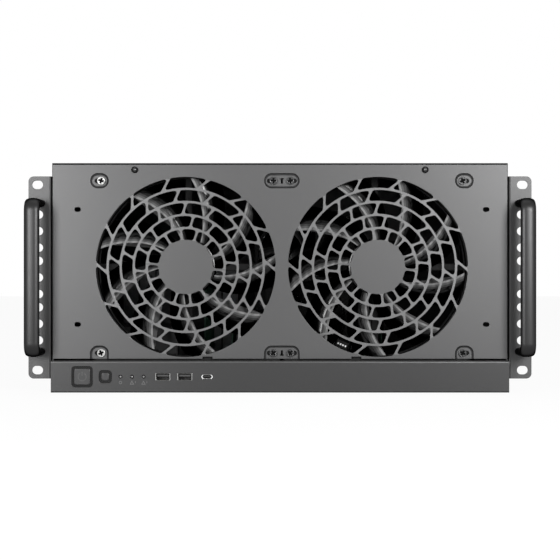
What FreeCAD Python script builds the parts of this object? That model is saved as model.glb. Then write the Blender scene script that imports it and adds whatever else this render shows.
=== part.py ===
"""A five-unit rackmount workstation, as the separate pieces it comes apart into.

Millimetres. +X is to the right seen from the front, +Y runs to the rear and +Z is up.
The origin is on the base face, midway between the front panel and the rear panel.
"""
import FreeCAD, Part
import math
import os
import re
import Sketcher

Vector = FreeCAD.Vector

# Driving dimensions
SIZES = {
    # Sheet-metal shell
    "chassis_width": 436.0,
    "chassis_height": 219.0,
    "chassis_depth": 450.0,
    "gauge": 1.2,
    "floor_flange": 12.0,
    "wall_flange": 11.0,
    "lip_drop": 12.0,
    "lip_gap": 0.3,
    "panel_return": 14.0,
    "cover_gap": 0.5,
    "cover_flange": 12.0,
    "thumbscrew_radius": 5.5,
    "thumbscrew_length": 8.0,
    "thumbscrew_spread": 175.0,
    # Rack ears and handles
    "ear_span": 482.6,
    "ear_height": 194.0,
    "ear_gauge": 2.0,
    "ear_setback": 4.0,
    "ear_leg": 60.0,
    "ear_bend": 3.0,
    "ear_corner": 5.0,
    "rack_span": 465.1,
    "rack_rows": 177.8,
    "rack_slot_length": 10.4,
    "rack_slot_width": 8.1,
    "rack_step_near": 15.875,
    "rack_step_far": 12.7,
    "handle_pitch": 142.0,
    "handle_reach": 42.0,
    "handle_width": 14.6,
    "handle_thickness": 8.0,
    "handle_bend": 5.0,
    "handle_edge": 3.0,
    "screw_radius": 2.0,
    "screw_head_radius": 3.8,
    "screw_head_height": 2.2,
    "screw_clearance": 0.2,
    "ear_screw_inset": 26.0,
    "ear_screw_pitch": 69.0,
    "rail_hole_pitch": 270.0,
    "rail_hole_height": 60.0,
    "rail_hole_radius": 2.1,
    # Front panel and its grilles
    "strip_height": 30.0,
    "strip_reach": 10.0,
    "strip_gap": 1.7,
    "strip_bend": 1.5,
    "grille_offset": 92.0,
    "grille_radius": 86.1,
    "grille_hub_radius": 26.0,
    "grille_rings": 5,
    "grille_bars": 14,
    "grille_bar": 2.1,
    "bar_turn_1": -5.1,
    "bar_turn_2": -20.6,
    "bar_turn_3": -11.6,
    "bar_turn_4": -5.7,
    "bar_turn_5": -25.0,
    "bar_lean_first": 1.0,
    "bar_lean_step": 10.2,
    "dimple_width": 14.3,
    "dimple_overhang": 8.8,
    "dimple_shift": 1.5,
    "dimple_depth": 2.5,
    "hook_slot_length": 6.2,
    "hook_slot_width": 4.3,
    "hook_slot_spread": 195.5,
    "hook_slot_rows": 110.0,
    "stud_radius": 3.2,
    "stud_height": 1.6,
    "stud_spread": 139.0,
    "stud_drop": 6.5,
    "notch_spread": 71.2,
    "notch_width": 9.5,
    "notch_height": 2.0,
    # Front fans, and how far their middle lies to the right of the chassis' middle
    "front_shift": 1.8,
    "fan_offset": 90.6,
    "fan_height": 119.6,
    "front_fan_size": 180.0,
    "front_fan_depth": 32.0,
    "front_fan_bore": 86.6,
    "front_fan_holes": 165.0,
    "front_fan_hub": 27.0,
    "front_fan_blades": 9,
    "fan_flange": 4.0,
    "fan_wall": 2.4,
    "fan_strut": 7.0,
    "fan_base": 5.0,
    "fan_inset": 2.5,
    "tip_gap": 1.3,
    "blade_thickness": 1.8,
    "left_blade_lead": -4.5,
    "right_blade_lead": 23.8,
    "blade_sweep": 25.0,
    "front_root_share": 0.675,
    "front_tip_share": 0.5,
    "shaft_radius": 2.5,
    "shaft_play": 0.05,
    "end_play": 0.4,
    "plug_turn": 247.0,
    "plug_width": 12.0,
    "plug_height": 7.0,
    "plug_depth": 4.8,
    # Controls on the strip
    "control_height": 15.1,
    "power_x": -188.2,
    "power_hole": 20.2,
    "power_cap": 15.6,
    "reset_x": -166.2,
    "reset_hole": 12.5,
    "reset_cap": 7.6,
    "button_corner": 3.0,
    "button_gap": 0.3,
    "button_rim": 1.6,
    "button_travel": 1.5,
    "lamp_x": -151.7,
    "lamp_pitch": 11.0,
    "lamp_radius": 1.7,
    "lamp_stand": 0.4,
    "usb_a_x": -111.4,
    "usb_a_pitch": 20.9,
    "usb_a_width": 14.2,
    "usb_a_height": 6.8,
    "usb_wall": 0.6,
    "usb_tongue": 2.0,
    "usb_c_x": -69.3,
    "usb_c_width": 10.4,
    "usb_c_height": 3.8,
    "socket_stand": 0.3,
    "io_board_left": -207.0,
    "io_board_right": -56.0,
    "io_board_top": 27.0,
    "io_board_gap": 12.5,
    "board_thickness": 1.6,
    "post_radius": 2.6,
    "switch_body": 6.4,
    # Main board
    "board_width": 305.0,
    "board_depth": 244.0,
    "board_right": 113.0,
    "board_rear_gap": 2.0,
    "standoff_height": 6.5,
    "standoff_radius": 3.0,
    "slot_pitch": 20.32,
    "slot_first": -61.0,
    "slot_count": 7,
    "slot_opening": 14.0,
    "slot_top": 124.0,
    "slot_cover_width": 18.4,
    "slot_cover_gauge": 0.9,
    "slot_cover_tab": 11.0,
    "slot_margin": 6.0,
    "connector_width": 7.5,
    "connector_length": 89.0,
    "connector_height": 11.0,
    "connector_rear": 34.0,
    "card_slot_depth": 7.0,
    "card_slot_gap": 0.15,
    "shield_width": 158.75,
    "shield_height": 44.45,
    "shield_inset": 4.0,
    "shield_lip": 2.0,
    "port_depth": 22.0,
    "port_margin": 7.0,
    "port_gap": 7.0,
    "port_wall": 1.5,
    "usb_port_width": 15.0,
    "usb_port_height": 17.0,
    "net_port_width": 17.0,
    "net_port_height": 14.0,
    "tall_port_height": 30.0,
    "audio_port_width": 24.0,
    "audio_port_height": 13.0,
    "main_power_length": 52.0,
    "main_power_inset": 8.0,
    "extra_power_length": 20.0,
    "extra_power_gap": 10.0,
    "cpu_x": 30.0,
    "cpu_y": 105.0,
    "socket_width": 58.0,
    "socket_depth": 76.0,
    "socket_height": 5.5,
    "lid_width": 42.0,
    "lid_depth": 56.0,
    "lid_height": 3.5,
    "sink_width": 92.0,
    "sink_depth": 96.0,
    "sink_base": 8.0,
    "sink_height": 92.0,
    "sink_fin": 1.2,
    "sink_fins": 19,
    "memory_pitch": 9.5,
    "memory_offset": 55.0,
    "memory_banks": 4,
    "memory_length": 133.0,
    "memory_width": 6.5,
    "memory_socket": 9.0,
    "memory_height": 31.0,
    "memory_thickness": 1.4,
    "chip_sink_size": 52.0,
    "chip_sink_height": 14.0,
    "chip_x": -122.0,
    "chip_y": 25.0,
    # Small fans
    "cooler_fan_size": 92.0,
    "cooler_fan_depth": 25.0,
    "cooler_fan_bore": 43.5,
    "cooler_fan_hub": 17.0,
    "cooler_fan_holes": 82.5,
    "rear_fan_size": 120.0,
    "rear_fan_depth": 25.0,
    "rear_fan_bore": 57.5,
    "rear_fan_hub": 20.0,
    "rear_fan_holes": 105.0,
    "rear_fan_x": 30.0,
    "rear_fan_height": 130.0,
    "small_blades": 7,
    "small_root_share": 0.96,
    "small_tip_share": 0.96,
    "vent_bar": 2.4,
    "vent_bars": 10,
    # Power supply
    "psu_width": 86.0,
    "psu_height": 150.0,
    "psu_depth": 160.0,
    "psu_wall_gap": 14.0,
    "psu_margin": 5.0,
    "psu_screw_inset": 3.2,
    "psu_fan_bore": 60.0,
    "psu_fan_hub": 19.0,
    "psu_fan_recess": 26.0,
    "psu_fan_boss": 5.0,
    "psu_fan_rear": 80.0,
    "inlet_width": 27.0,
    "inlet_height": 20.0,
    "inlet_depth": 17.0,
    "inlet_wall": 1.8,
    "inlet_pin": 8.0,
    "inlet_drop": 24.0,
    "rocker_width": 12.6,
    "rocker_height": 19.0,
    "rocker_depth": 9.0,
    "rocker_gap": 1.0,
    "rocker_pin": 1.5,
    "rocker_tilt": 8.0,
    "rocker_drop": 34.0,
    # Graphics card
    "card_slot": 1,
    "card_length": 240.0,
    "card_height": 98.0,
    "card_sink": 36.0,
    "card_margin": 6.0,
    "card_fan_bore": 39.0,
    "card_fan_hub": 15.0,
    "card_fan_recess": 18.0,
    "card_fan_front": 60.0,
    # Drives
    "drive_width": 101.6,
    "drive_length": 146.0,
    "drive_height": 26.1,
    "drive_gap": 6.0,
    "drive_play": 0.2,
    "drive_left": -205.0,
    "drive_rear": -38.0,
    "drive_count": 2,
}

doc = FreeCAD.newDocument("rack_workstation")
sizes = doc.addObject("Spreadsheet::Sheet", "Sizes")
for row, (name, number) in enumerate(SIZES.items(), start=1):
    sizes.set(f"A{row}", name)
    sizes.set(f"B{row}", str(number))
    sizes.setAlias(f"B{row}", name)
doc.recompute()

WORD = re.compile(r"[A-Za-z_]\w*")
nodes = []


def size(name):
    """The number that a cell of the sheet holds."""
    return float(sizes.get(name))


def formula(text):
    """A formula in the sheet's own names, as an expression that the document can follow."""
    return WORD.sub(lambda word: f"Sizes.{word[0]}" if word[0] in SIZES else word[0], str(text))


def bind(thing, prop, text):
    thing.setExpression(prop, formula(text))


def place(thing, x, y, z):
    for axis, text in zip("xyz", (x, y, z)):
        bind(thing, f"Placement.Base.{axis}", text)


def node(label, thing):
    """Give a finished sub-part the label that names its file."""
    thing.Label = label
    nodes.append(thing)
    return thing


# Building blocks
def block(x, y, z):
    """A box between two formulas along each axis."""
    box = doc.addObject("Part::Box", "block")
    for side, (low, high) in zip(("Length", "Width", "Height"), (x, y, z)):
        bind(box, side, f"({high}) - ({low})")
    place(box, x[0], y[0], z[0])
    return box


AXES = {"X": Vector(1, 0, 0), "Y": Vector(0, 1, 0), "Z": Vector(0, 0, 1)}
# Sides of what is round on the object but needs few faces here: fasteners, and wide bores
FEW = 8
MANY = 24


def rod(axis, radius, at, length, sides=0):
    """A cylinder, or a prism of some sides, that starts at a point and runs along one axis."""
    kind = "Part::Prism" if sides else "Part::Cylinder"
    bar = doc.addObject(kind, "rod")
    turn = FreeCAD.Rotation(Vector(0, 0, 1), AXES[axis])
    bar.Placement = FreeCAD.Placement(Vector(), turn)
    if sides:
        bar.Polygon = sides
    bind(bar, "Circumradius" if sides else "Radius", radius)
    bind(bar, "Height", length)
    place(bar, *at)
    return bar


def fuse(*pieces):
    if len(pieces) == 1:
        return pieces[0]
    joined = doc.addObject("Part::MultiFuse", "fuse")
    joined.Shapes = list(pieces)
    joined.Refine = True
    return joined


def group(*pieces):
    """Separate solids that share one node."""
    bundle = doc.addObject("Part::Compound", "group")
    bundle.Links = list(pieces)
    return bundle


def cut(base, *tools):
    trimmed = doc.addObject("Part::Cut", "cut")
    trimmed.Base = base
    trimmed.Tool = tools[0] if len(tools) == 1 else group(*tools)
    return trimmed


def mirrored(source):
    """The same piece on the other side of the middle plane."""
    other = doc.addObject("Part::Mirroring", "mirror")
    other.Source = source
    other.Normal = AXES["X"]
    return other


def stadium(x, z, length, width, y, sides=0):
    """A flat oval along X, through the sheet from one depth to the other."""
    half = f"(({length}) - ({width}))/2"
    depth = f"({y[1]}) - ({y[0]})"
    middle = block((f"{x} - {half}", f"{x} + {half}"), y, (f"{z} - ({width})/2", f"{z} + ({width})/2"))
    ends = [rod("Y", f"({width})/2", (f"{x} {sign} {half}", y[0], z), depth, sides) for sign in "-+"]
    return fuse(middle, *ends)


def outline(body, plane, points, offset):
    """A closed sketch whose corners follow formulas, on one of the body's own planes."""
    sketch = body.newObject("Sketcher::SketchObject", "outline")
    planes = {feature.Role: feature for feature in body.Origin.OriginFeatures}
    sketch.AttachmentSupport = [(planes[plane], "")]
    sketch.MapMode = "FlatFace"
    bind(sketch, "AttachmentOffset.Base.z", offset)
    count = len(points)
    turn = 2 * math.pi / count
    rough = [Vector(math.cos(turn * step), math.sin(turn * step), 0) for step in range(count)]
    for step in range(count):
        sketch.addGeometry(Part.LineSegment(rough[step], rough[(step + 1) % count]), False)
    for step in range(count):
        sketch.addConstraint(Sketcher.Constraint("Coincident", step, 2, (step + 1) % count, 1))
    for step, point in enumerate(points):
        for kind, start, text in zip(("DistanceX", "DistanceY"), rough[step], point):
            index = sketch.addConstraint(Sketcher.Constraint(kind, -1, 1, step, 1, start))
            bind(sketch, f"Constraints[{index}]", text)
    return sketch


def prism(plane, points, low, high):
    """A body padded from an outline; on the XZ plane the pad runs towards the front."""
    body = doc.addObject("PartDesign::Body", "prism")
    offset = f"-({high})" if plane == "XZ_Plane" else low
    pad = body.newObject("PartDesign::Pad", "pad")
    pad.Profile = outline(body, plane, points, offset)
    bind(pad, "Length", f"({high}) - ({low})")
    body.Tip = pad
    doc.recompute()
    return body


def rounded(body, radius, chosen, kind="Fillet"):
    """Fillet or chamfer the edges of a body whose middle passes a test."""
    base = body.Tip
    names = []
    for index, edge in enumerate(base.Shape.Edges, start=1):
        middle = edge.valueAt((edge.FirstParameter + edge.LastParameter) / 2)
        if chosen(edge, middle):
            names.append(f"Edge{index}")
    dressed = body.newObject(f"PartDesign::{kind}", "edges")
    dressed.Base = (base, names)
    bind(dressed, "Radius" if kind == "Fillet" else "Size", radius)
    body.Tip = dressed
    doc.recompute()
    return body


def close(first, second):
    return abs(first - second) < 1e-4


def runs_along(edge, axis):
    """Whether an edge is straight and parallel to an axis."""
    if edge.Curve.TypeId != "Part::GeomLine":
        return False
    return close(abs(edge.tangentAt(edge.FirstParameter).dot(AXES[axis])), 1)


def solid(shape):
    """A document object for a shape that is worked out point by point."""
    feature = doc.addObject("Part::Feature", "solid")
    feature.Shape = shape
    return feature


def sided(sign, low, high):
    """A span on the right, or the same span on the left."""
    return (low, high) if sign > 0 else (f"-({high})", f"-({low})")


SIDES = (("left", -1), ("right", 1))

# Faces that many pieces share
HALF = "chassis_width/2"
INSIDE = f"({HALF} - gauge)"
FRONT = "-chassis_depth/2"
PANEL_BACK = f"({FRONT} + gauge)"
REAR = "chassis_depth/2"
REAR_INSIDE = f"({REAR} - gauge)"
TOP = "chassis_height"
COVER_INSIDE = f"({TOP} - gauge)"
SHELF_TOP = f"({COVER_INSIDE} - lip_gap)"
NECK = f"({HALF} - gauge - lip_gap)"
JOGGLE = f"({TOP} - lip_drop - lip_gap)"
STRIP_FRONT = f"({FRONT} - strip_reach)"
STRIP_BACK = f"({STRIP_FRONT} + gauge)"
PANEL_BOTTOM = "(strip_height + strip_gap)"
EAR_FRONT = f"({FRONT} + ear_setback)"
EAR_BACK = f"({EAR_FRONT} + ear_gauge)"
EAR_BOTTOM = f"(({TOP} - ear_height)/2)"
RACK_X = "rack_span/2"
DIMPLE_FLOOR = f"({FRONT} + dimple_depth)"
FAN_FRONT = f"({PANEL_BACK} + dimple_depth)"
HOLE = "(screw_radius + screw_clearance)"


# Sheet-metal shell
def floor_pan():
    plate = block((f"-{INSIDE}", INSIDE), (STRIP_BACK, REAR_INSIDE), ("0", "gauge"))
    flange_y = (f"{PANEL_BACK} + 2*gauge", f"{REAR_INSIDE} - 2*gauge")
    flanges = [
        block(sided(sign, f"{INSIDE} - gauge", INSIDE), flange_y, ("0", "floor_flange")) for _, sign in SIDES
    ]
    node("floor_pan", fuse(plate, *flanges))


def ear_screw_places():
    """Depth and height of the screws that hold an ear to its wall."""
    middle = f"{TOP}/2"
    depth = f"{EAR_FRONT} + ear_screw_inset"
    return [(depth, f"{middle} + {step}*ear_screw_pitch") for step in (-1, 0, 1)]


def side_walls():
    """A wall with a joggled upper edge, on which the cover's lip lies flush."""
    shelf_edge = f"{NECK} - wall_flange"
    points = [
        (INSIDE, "0"),
        (HALF, "0"),
        (HALF, JOGGLE),
        (NECK, JOGGLE),
        (NECK, SHELF_TOP),
        (shelf_edge, SHELF_TOP),
        (shelf_edge, f"{SHELF_TOP} - gauge"),
        (f"{NECK} - gauge", f"{SHELF_TOP} - gauge"),
        (f"{NECK} - gauge", f"{JOGGLE} - gauge"),
        (INSIDE, f"{JOGGLE} - gauge"),
    ]
    skin = prism("XZ_Plane", points, PANEL_BACK, REAR_INSIDE)
    flange_x = (f"{INSIDE} - wall_flange", INSIDE)
    front = block(flange_x, (PANEL_BACK, f"{PANEL_BACK} + gauge"), (PANEL_BOTTOM, f"{JOGGLE} - gauge"))
    rear = block(flange_x, (f"{REAR_INSIDE} - gauge", REAR_INSIDE), ("floor_flange", f"{JOGGLE} - gauge"))
    start = f"{INSIDE} - gauge"
    holes = [rod("X", HOLE, (start, y, z), "3*gauge", FEW) for y, z in ear_screw_places()]
    for sign in "-+":
        at = (start, f"0 {sign} rail_hole_pitch/2", "rail_hole_height")
        holes.append(rod("X", "rail_hole_radius", at, "3*gauge"))
    right = node("right_side_wall", cut(fuse(skin, front, rear), *holes))
    node("left_side_wall", mirrored(right))


def top_cover():
    points = [
        (f"-{HALF}", f"{TOP} - lip_drop"),
        (f"-{INSIDE}", f"{TOP} - lip_drop"),
        (f"-{INSIDE}", COVER_INSIDE),
        (INSIDE, COVER_INSIDE),
        (INSIDE, f"{TOP} - lip_drop"),
        (HALF, f"{TOP} - lip_drop"),
        (HALF, TOP),
        (f"-{HALF}", TOP),
    ]
    skin = prism("XZ_Plane", points, f"{FRONT} + panel_return + cover_gap", f"{REAR} + lip_gap")
    flange_y = (f"{REAR} + lip_gap", f"{REAR} + lip_gap + gauge")
    flange = block((f"-{NECK}", NECK), flange_y, (f"{TOP} - cover_flange", TOP))
    height = f"{TOP} - cover_flange/2"
    places = [f"{step}*thumbscrew_spread" for step in (-1, 0, 1)]
    holes = [rod("Y", HOLE, (x, REAR, height), "3*gauge", FEW) for x in places]
    node("top_cover", cut(fuse(skin, flange), *holes))
    screws = []
    for x in places:
        head = rod("Y", "thumbscrew_radius", (x, flange_y[1], height), "thumbscrew_length", 2 * FEW)
        stem = rod("Y", "screw_radius", (x, f"{REAR} + lip_gap", height), "2*gauge", FEW)
        screws.append(fuse(head, stem))
    node("cover_thumbscrews", group(*screws))


# Front panel
def screw_places(x, z, pitch):
    return [(f"{x} {a} {pitch}/2", f"{z} {b} {pitch}/2") for a in "-+" for b in "-+"]


def facets(radius, count, depth):
    """A many-sided disc along +Y from the origin, with its corners on the radius."""
    turn = 2 * math.pi / count
    corners = [Vector(radius * math.cos(turn * step), 0, radius * math.sin(turn * step)) for step in range(count)]
    return Part.Face(Part.makePolygon(corners + corners[:1])).extrude(Vector(0, depth, 0))


def grille_tool():
    """The openings of one grille: rings cut across by straight bars that lean more, ring by ring."""
    bar = size("grille_bar")
    rings = int(size("grille_rings"))
    pitch = (size("grille_radius") - size("grille_hub_radius") + bar) / rings
    depth = 3 * size("gauge")
    count = int(size("grille_bars"))
    openings = []
    for ring in range(rings):
        inner = size("grille_hub_radius") + ring * pitch
        outer = inner + pitch - bar
        lean = size("bar_lean_first") + ring * size("bar_lean_step")
        turn = size(f"bar_turn_{ring % 5 + 1}")
        space = facets(outer, 2 * count, depth).cut(facets(inner, 2 * count, depth))
        space.rotate(Vector(), AXES["Y"], -turn)
        bars = []
        for step in range(count):
            piece = Part.makeBox(2 * pitch, depth, bar, Vector(-pitch, 0, -bar / 2))
            piece.rotate(Vector(), AXES["Y"], lean)
            piece.translate(Vector((inner + outer) / 2, 0, 0))
            piece.rotate(Vector(), AXES["Y"], -turn - 360 * step / count)
            bars.append(piece)
        openings += space.cut(Part.makeCompound(bars)).Solids
    return Part.makeCompound(openings)


def dimples():
    """Spans along X where the panel is pressed in to meet the fans, at the middle and both corners."""
    near = "(fan_offset - front_fan_holes/2 + dimple_overhang)"
    far = "(fan_offset + front_fan_holes/2 + dimple_shift)"
    corner = (f"({far} - dimple_overhang)", f"({far} + dimple_overhang)")
    spans = [(f"(-{near})", near), corner, sided(-1, *corner)]
    return [(f"({low} + front_shift)", f"({high} + front_shift)") for low, high in spans]


def pressing(span, z, grow, y, foot):
    """One pressed oval, grown by the sheet's thickness for its back; a foot runs it off the lower edge."""
    low, high = span
    middle = f"(({low}) + ({high}))/2"
    length = f"({high}) - ({low}) + 2*{grow}"
    width = f"dimple_width + 2*{grow}"
    oval = stadium(middle, z, length, width, y, FEW)
    if not foot:
        return oval
    leg = block((f"{low} - {grow}", f"{high} + {grow}"), y, (PANEL_BOTTOM, z))
    return fuse(oval, leg)


def front_panel():
    plate = block((f"-{HALF}", HALF), (FRONT, PANEL_BACK), (PANEL_BOTTOM, TOP))
    brim = block((f"-{HALF}", HALF), (FRONT, f"{FRONT} + panel_return"), (COVER_INSIDE, TOP))
    backs = []
    hollows = []
    slots = []
    for row, foot in (("+", False), ("-", True)):
        z = f"(fan_height {row} front_fan_holes/2)"
        for span in dimples():
            backs.append(pressing(span, z, "gauge", (FRONT, FAN_FRONT), foot))
            hollows.append(pressing(span, z, "0", (f"{FRONT} - gauge", DIMPLE_FLOOR), foot))
        for sign in (-1, 1):
            for side in "-+":
                x = f"({sign}*(fan_offset {side} front_fan_holes/2 + screw_radius) + front_shift)"
                slots.append(stadium(x, z, f"4*{HOLE}", f"2*{HOLE}", (FRONT, f"{FAN_FRONT} + gauge"), FEW))
        keyhole = (f"{z} - screw_radius*1.3", f"{z} + screw_radius*1.3")
        slots.append(block(centred("front_shift", "screw_radius"), (FRONT, f"{FAN_FRONT} + gauge"), keyhole))
    through = (f"{FRONT} - gauge", f"{PANEL_BACK} + gauge")
    for sign in (-1, 1):
        for row in "-+":
            z = f"(fan_height {row} hook_slot_rows/2)"
            x = f"({sign}*hook_slot_spread + front_shift)"
            slots.append(stadium(x, z, "hook_slot_length", "hook_slot_width", through, FEW))
        notch = centred(f"({sign}*notch_spread + front_shift)", "notch_width")
        slots.append(block(notch, through, (f"{PANEL_BOTTOM} - notch_height", f"{PANEL_BOTTOM} + notch_height")))
    openings = []
    for sign in (-1, 1):
        grille = solid(grille_tool())
        place(grille, f"{sign}*grille_offset + front_shift", f"{FRONT} - gauge", "fan_height")
        openings.append(grille)
    # The bosses run past the lower edge of the sheet only as ovals, so they are trimmed level with it
    spare = block((f"-{HALF}", HALF), (f"{FRONT} - gauge", f"{FAN_FRONT} + gauge"), ("0", PANEL_BOTTOM))
    sheet = fuse(plate, brim, *backs)
    node("front_panel", cut(sheet, spare, *hollows, *slots, *openings))


def snap_studs():
    """Round studs that the filter cover snaps onto."""
    studs = []
    for sign in (-1, 1):
        at = (f"{sign}*stud_spread", f"{FRONT} - stud_height", f"{TOP} - stud_drop")
        base = rod("Y", "stud_radius", at, "stud_height", 2 * FEW)
        tip = (at[0], f"{FRONT} - 2*stud_height", at[2])
        studs.append(fuse(base, rod("Y", "stud_radius*0.7", tip, "stud_height", 2 * FEW)))
    node("snap_studs", group(*studs))


# Rack ears and handles
def rack_rows():
    """Heights and sides of the rack slots: the round-ended outer pair, and those between the legs."""
    middle = f"{TOP}/2"
    near = "rack_step_near"
    steps = ["0", near, f"({near} + rack_step_far)", f"(2*{near} + rack_step_far)"]
    steps.append(f"(3*{near} + rack_step_far)")
    steps.append("rack_rows/2")
    rows = [(middle, FEW)]
    for step in steps[1:]:
        sides = 0 if step == "rack_rows/2" else FEW
        rows += [(f"({middle} - {step})", sides), (f"({middle} + {step})", sides)]
    return rows


def rack_ears():
    edge = "ear_span/2"
    points = [
        (HALF, EAR_FRONT),
        (edge, EAR_FRONT),
        (edge, EAR_BACK),
        (f"{HALF} + ear_gauge", EAR_BACK),
        (f"{HALF} + ear_gauge", f"{EAR_FRONT} + ear_leg"),
        (HALF, f"{EAR_FRONT} + ear_leg"),
    ]
    bracket = prism("XY_Plane", points, EAR_BOTTOM, f"{EAR_BOTTOM} + ear_height")
    wall = size("chassis_width") / 2
    rim = size("ear_span") / 2
    face = -size("chassis_depth") / 2 + size("ear_setback")
    rounded(
        bracket, "ear_bend", lambda edge, at: runs_along(edge, "Z") and close(at.x, wall) and close(at.y, face)
    )
    rounded(bracket, "ear_corner", lambda edge, at: runs_along(edge, "Y") and close(at.x, rim))
    span = (f"{EAR_FRONT} - ear_gauge", f"{EAR_BACK} + ear_gauge")
    slot = ("rack_slot_length", "rack_slot_width", span)
    holes = [stadium(RACK_X, z, *slot, sides) for z, sides in rack_rows()]
    for sign in "-+":
        at = (RACK_X, EAR_FRONT, f"{TOP}/2 {sign} handle_pitch/2")
        holes.append(rod("Y", HOLE, at, "ear_gauge", FEW))
    for y, z in ear_screw_places():
        holes.append(rod("X", HOLE, (HALF, y, z), "ear_gauge", FEW))
    right = node("right_ear", cut(bracket, *holes))
    node("left_ear", mirrored(right))


def handles():
    """A flat oval bar bent into a bow, screwed on from behind the ear."""
    outer = "handle_pitch/2 + handle_thickness/2"
    inner = "handle_pitch/2 - handle_thickness/2"
    middle = f"{TOP}/2"
    grip = f"{EAR_FRONT} - handle_reach"
    points = [
        (EAR_FRONT, f"{middle} - ({outer})"),
        (EAR_FRONT, f"{middle} - ({inner})"),
        (f"{grip} + handle_thickness", f"{middle} - ({inner})"),
        (f"{grip} + handle_thickness", f"{middle} + {inner}"),
        (EAR_FRONT, f"{middle} + {inner}"),
        (EAR_FRONT, f"{middle} + {outer}"),
        (grip, f"{middle} + {outer}"),
        (grip, f"{middle} - ({outer})"),
    ]
    bow = prism("YZ_Plane", points, f"{RACK_X} - handle_width/2", f"{RACK_X} + handle_width/2")
    face = -size("chassis_depth") / 2 + size("ear_setback")
    front = face - size("handle_reach")
    thickness = size("handle_thickness")
    rounded(
        bow, "handle_bend + handle_thickness", lambda edge, at: runs_along(edge, "X") and close(at.y, front)
    )
    rounded(
        bow, "handle_bend", lambda edge, at: runs_along(edge, "X") and close(at.y, front + thickness)
    )
    low = size("rack_span") / 2 - size("handle_width") / 2
    high = low + size("handle_width")
    rounded(
        bow,
        "handle_edge",
        lambda edge, at: (close(at.x, low) or close(at.x, high)) and at.y < face - 1e-3,
        "Chamfer",
    )
    screws = []
    pits = []
    for sign in "-+":
        z = f"{middle} {sign} handle_pitch/2"
        pits.append(rod("Y", HOLE, (RACK_X, f"{EAR_FRONT} - 5*screw_radius", z), "5*screw_radius", FEW))
        start = (RACK_X, f"{EAR_FRONT} - 4*screw_radius", z)
        head = rod("Y", "screw_head_radius", (RACK_X, EAR_BACK, z), "screw_head_height", FEW)
        screws.append(fuse(head, rod("Y", "screw_radius", start, "4*screw_radius + ear_gauge", FEW)))
    right = node("right_handle", cut(bow, *pits))
    node("left_handle", mirrored(right))
    node("handle_screws", group(*screws, *[mirrored(screw) for screw in screws]))


def ear_screws():
    screws = []
    seat = f"({HALF} + ear_gauge)"
    for y, z in ear_screw_places():
        head = rod("X", "screw_head_radius", (seat, y, z), "screw_head_height", FEW)
        stem = rod("X", "screw_radius", (f"{INSIDE} - gauge", y, z), "ear_gauge + 2*gauge", FEW)
        screws.append(fuse(head, stem))
    node("ear_screws", group(*screws, *[mirrored(screw) for screw in screws]))


# Fans
def fan_frame(label, key, x, y, z, flanged=True):
    """A square frame, open between two flanges or plain, with a cross of struts for the motor base."""
    half = f"{key}_size/2"
    bore = f"{key}_bore"
    rear = f"{y} + {key}_depth"
    square = ((f"{x} - {half}", f"{x} + {half}"), (f"{z} - {half}", f"{z} + {half}"))
    if flanged:
        front_plate = block(square[0], (y, f"{y} + fan_flange"), square[1])
        rear_plate = block(square[0], (f"{rear} - fan_flange", rear), square[1])
        tube = rod("Y", f"{bore} + fan_wall", (x, y, z), f"{key}_depth", MANY)
        shell = fuse(front_plate, rear_plate, tube)
    else:
        shell = block(square[0], (y, rear), square[1])
    holes = [rod("Y", bore, (x, y, z), f"{key}_depth", MANY)]
    for screw_x, screw_z in screw_places(x, z, f"{key}_holes"):
        holes.append(rod("Y", HOLE, (screw_x, y, screw_z), f"{key}_depth", FEW))
    reach = f"({bore} + fan_wall/3)"
    base_y = (f"{rear} - fan_base", rear)
    across = (f"{x} - {reach}", f"{x} + {reach}")
    upright = (f"{z} - {reach}", f"{z} + {reach}")
    struts = [
        block(across, base_y, (f"{z} - fan_strut/2", f"{z} + fan_strut/2")),
        block((f"{x} - fan_strut/2", f"{x} + fan_strut/2"), base_y, upright),
    ]
    base = rod("Y", f"{key}_hub", (x, base_y[0], z), "fan_base", 2 * FEW)
    sleeve = rod("Y", "shaft_radius + shaft_play", (x, base_y[0], z), "fan_base")
    ring = cut(shell, *holes)
    return node(label, cut(fuse(ring, *struts, base), sleeve))


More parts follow.
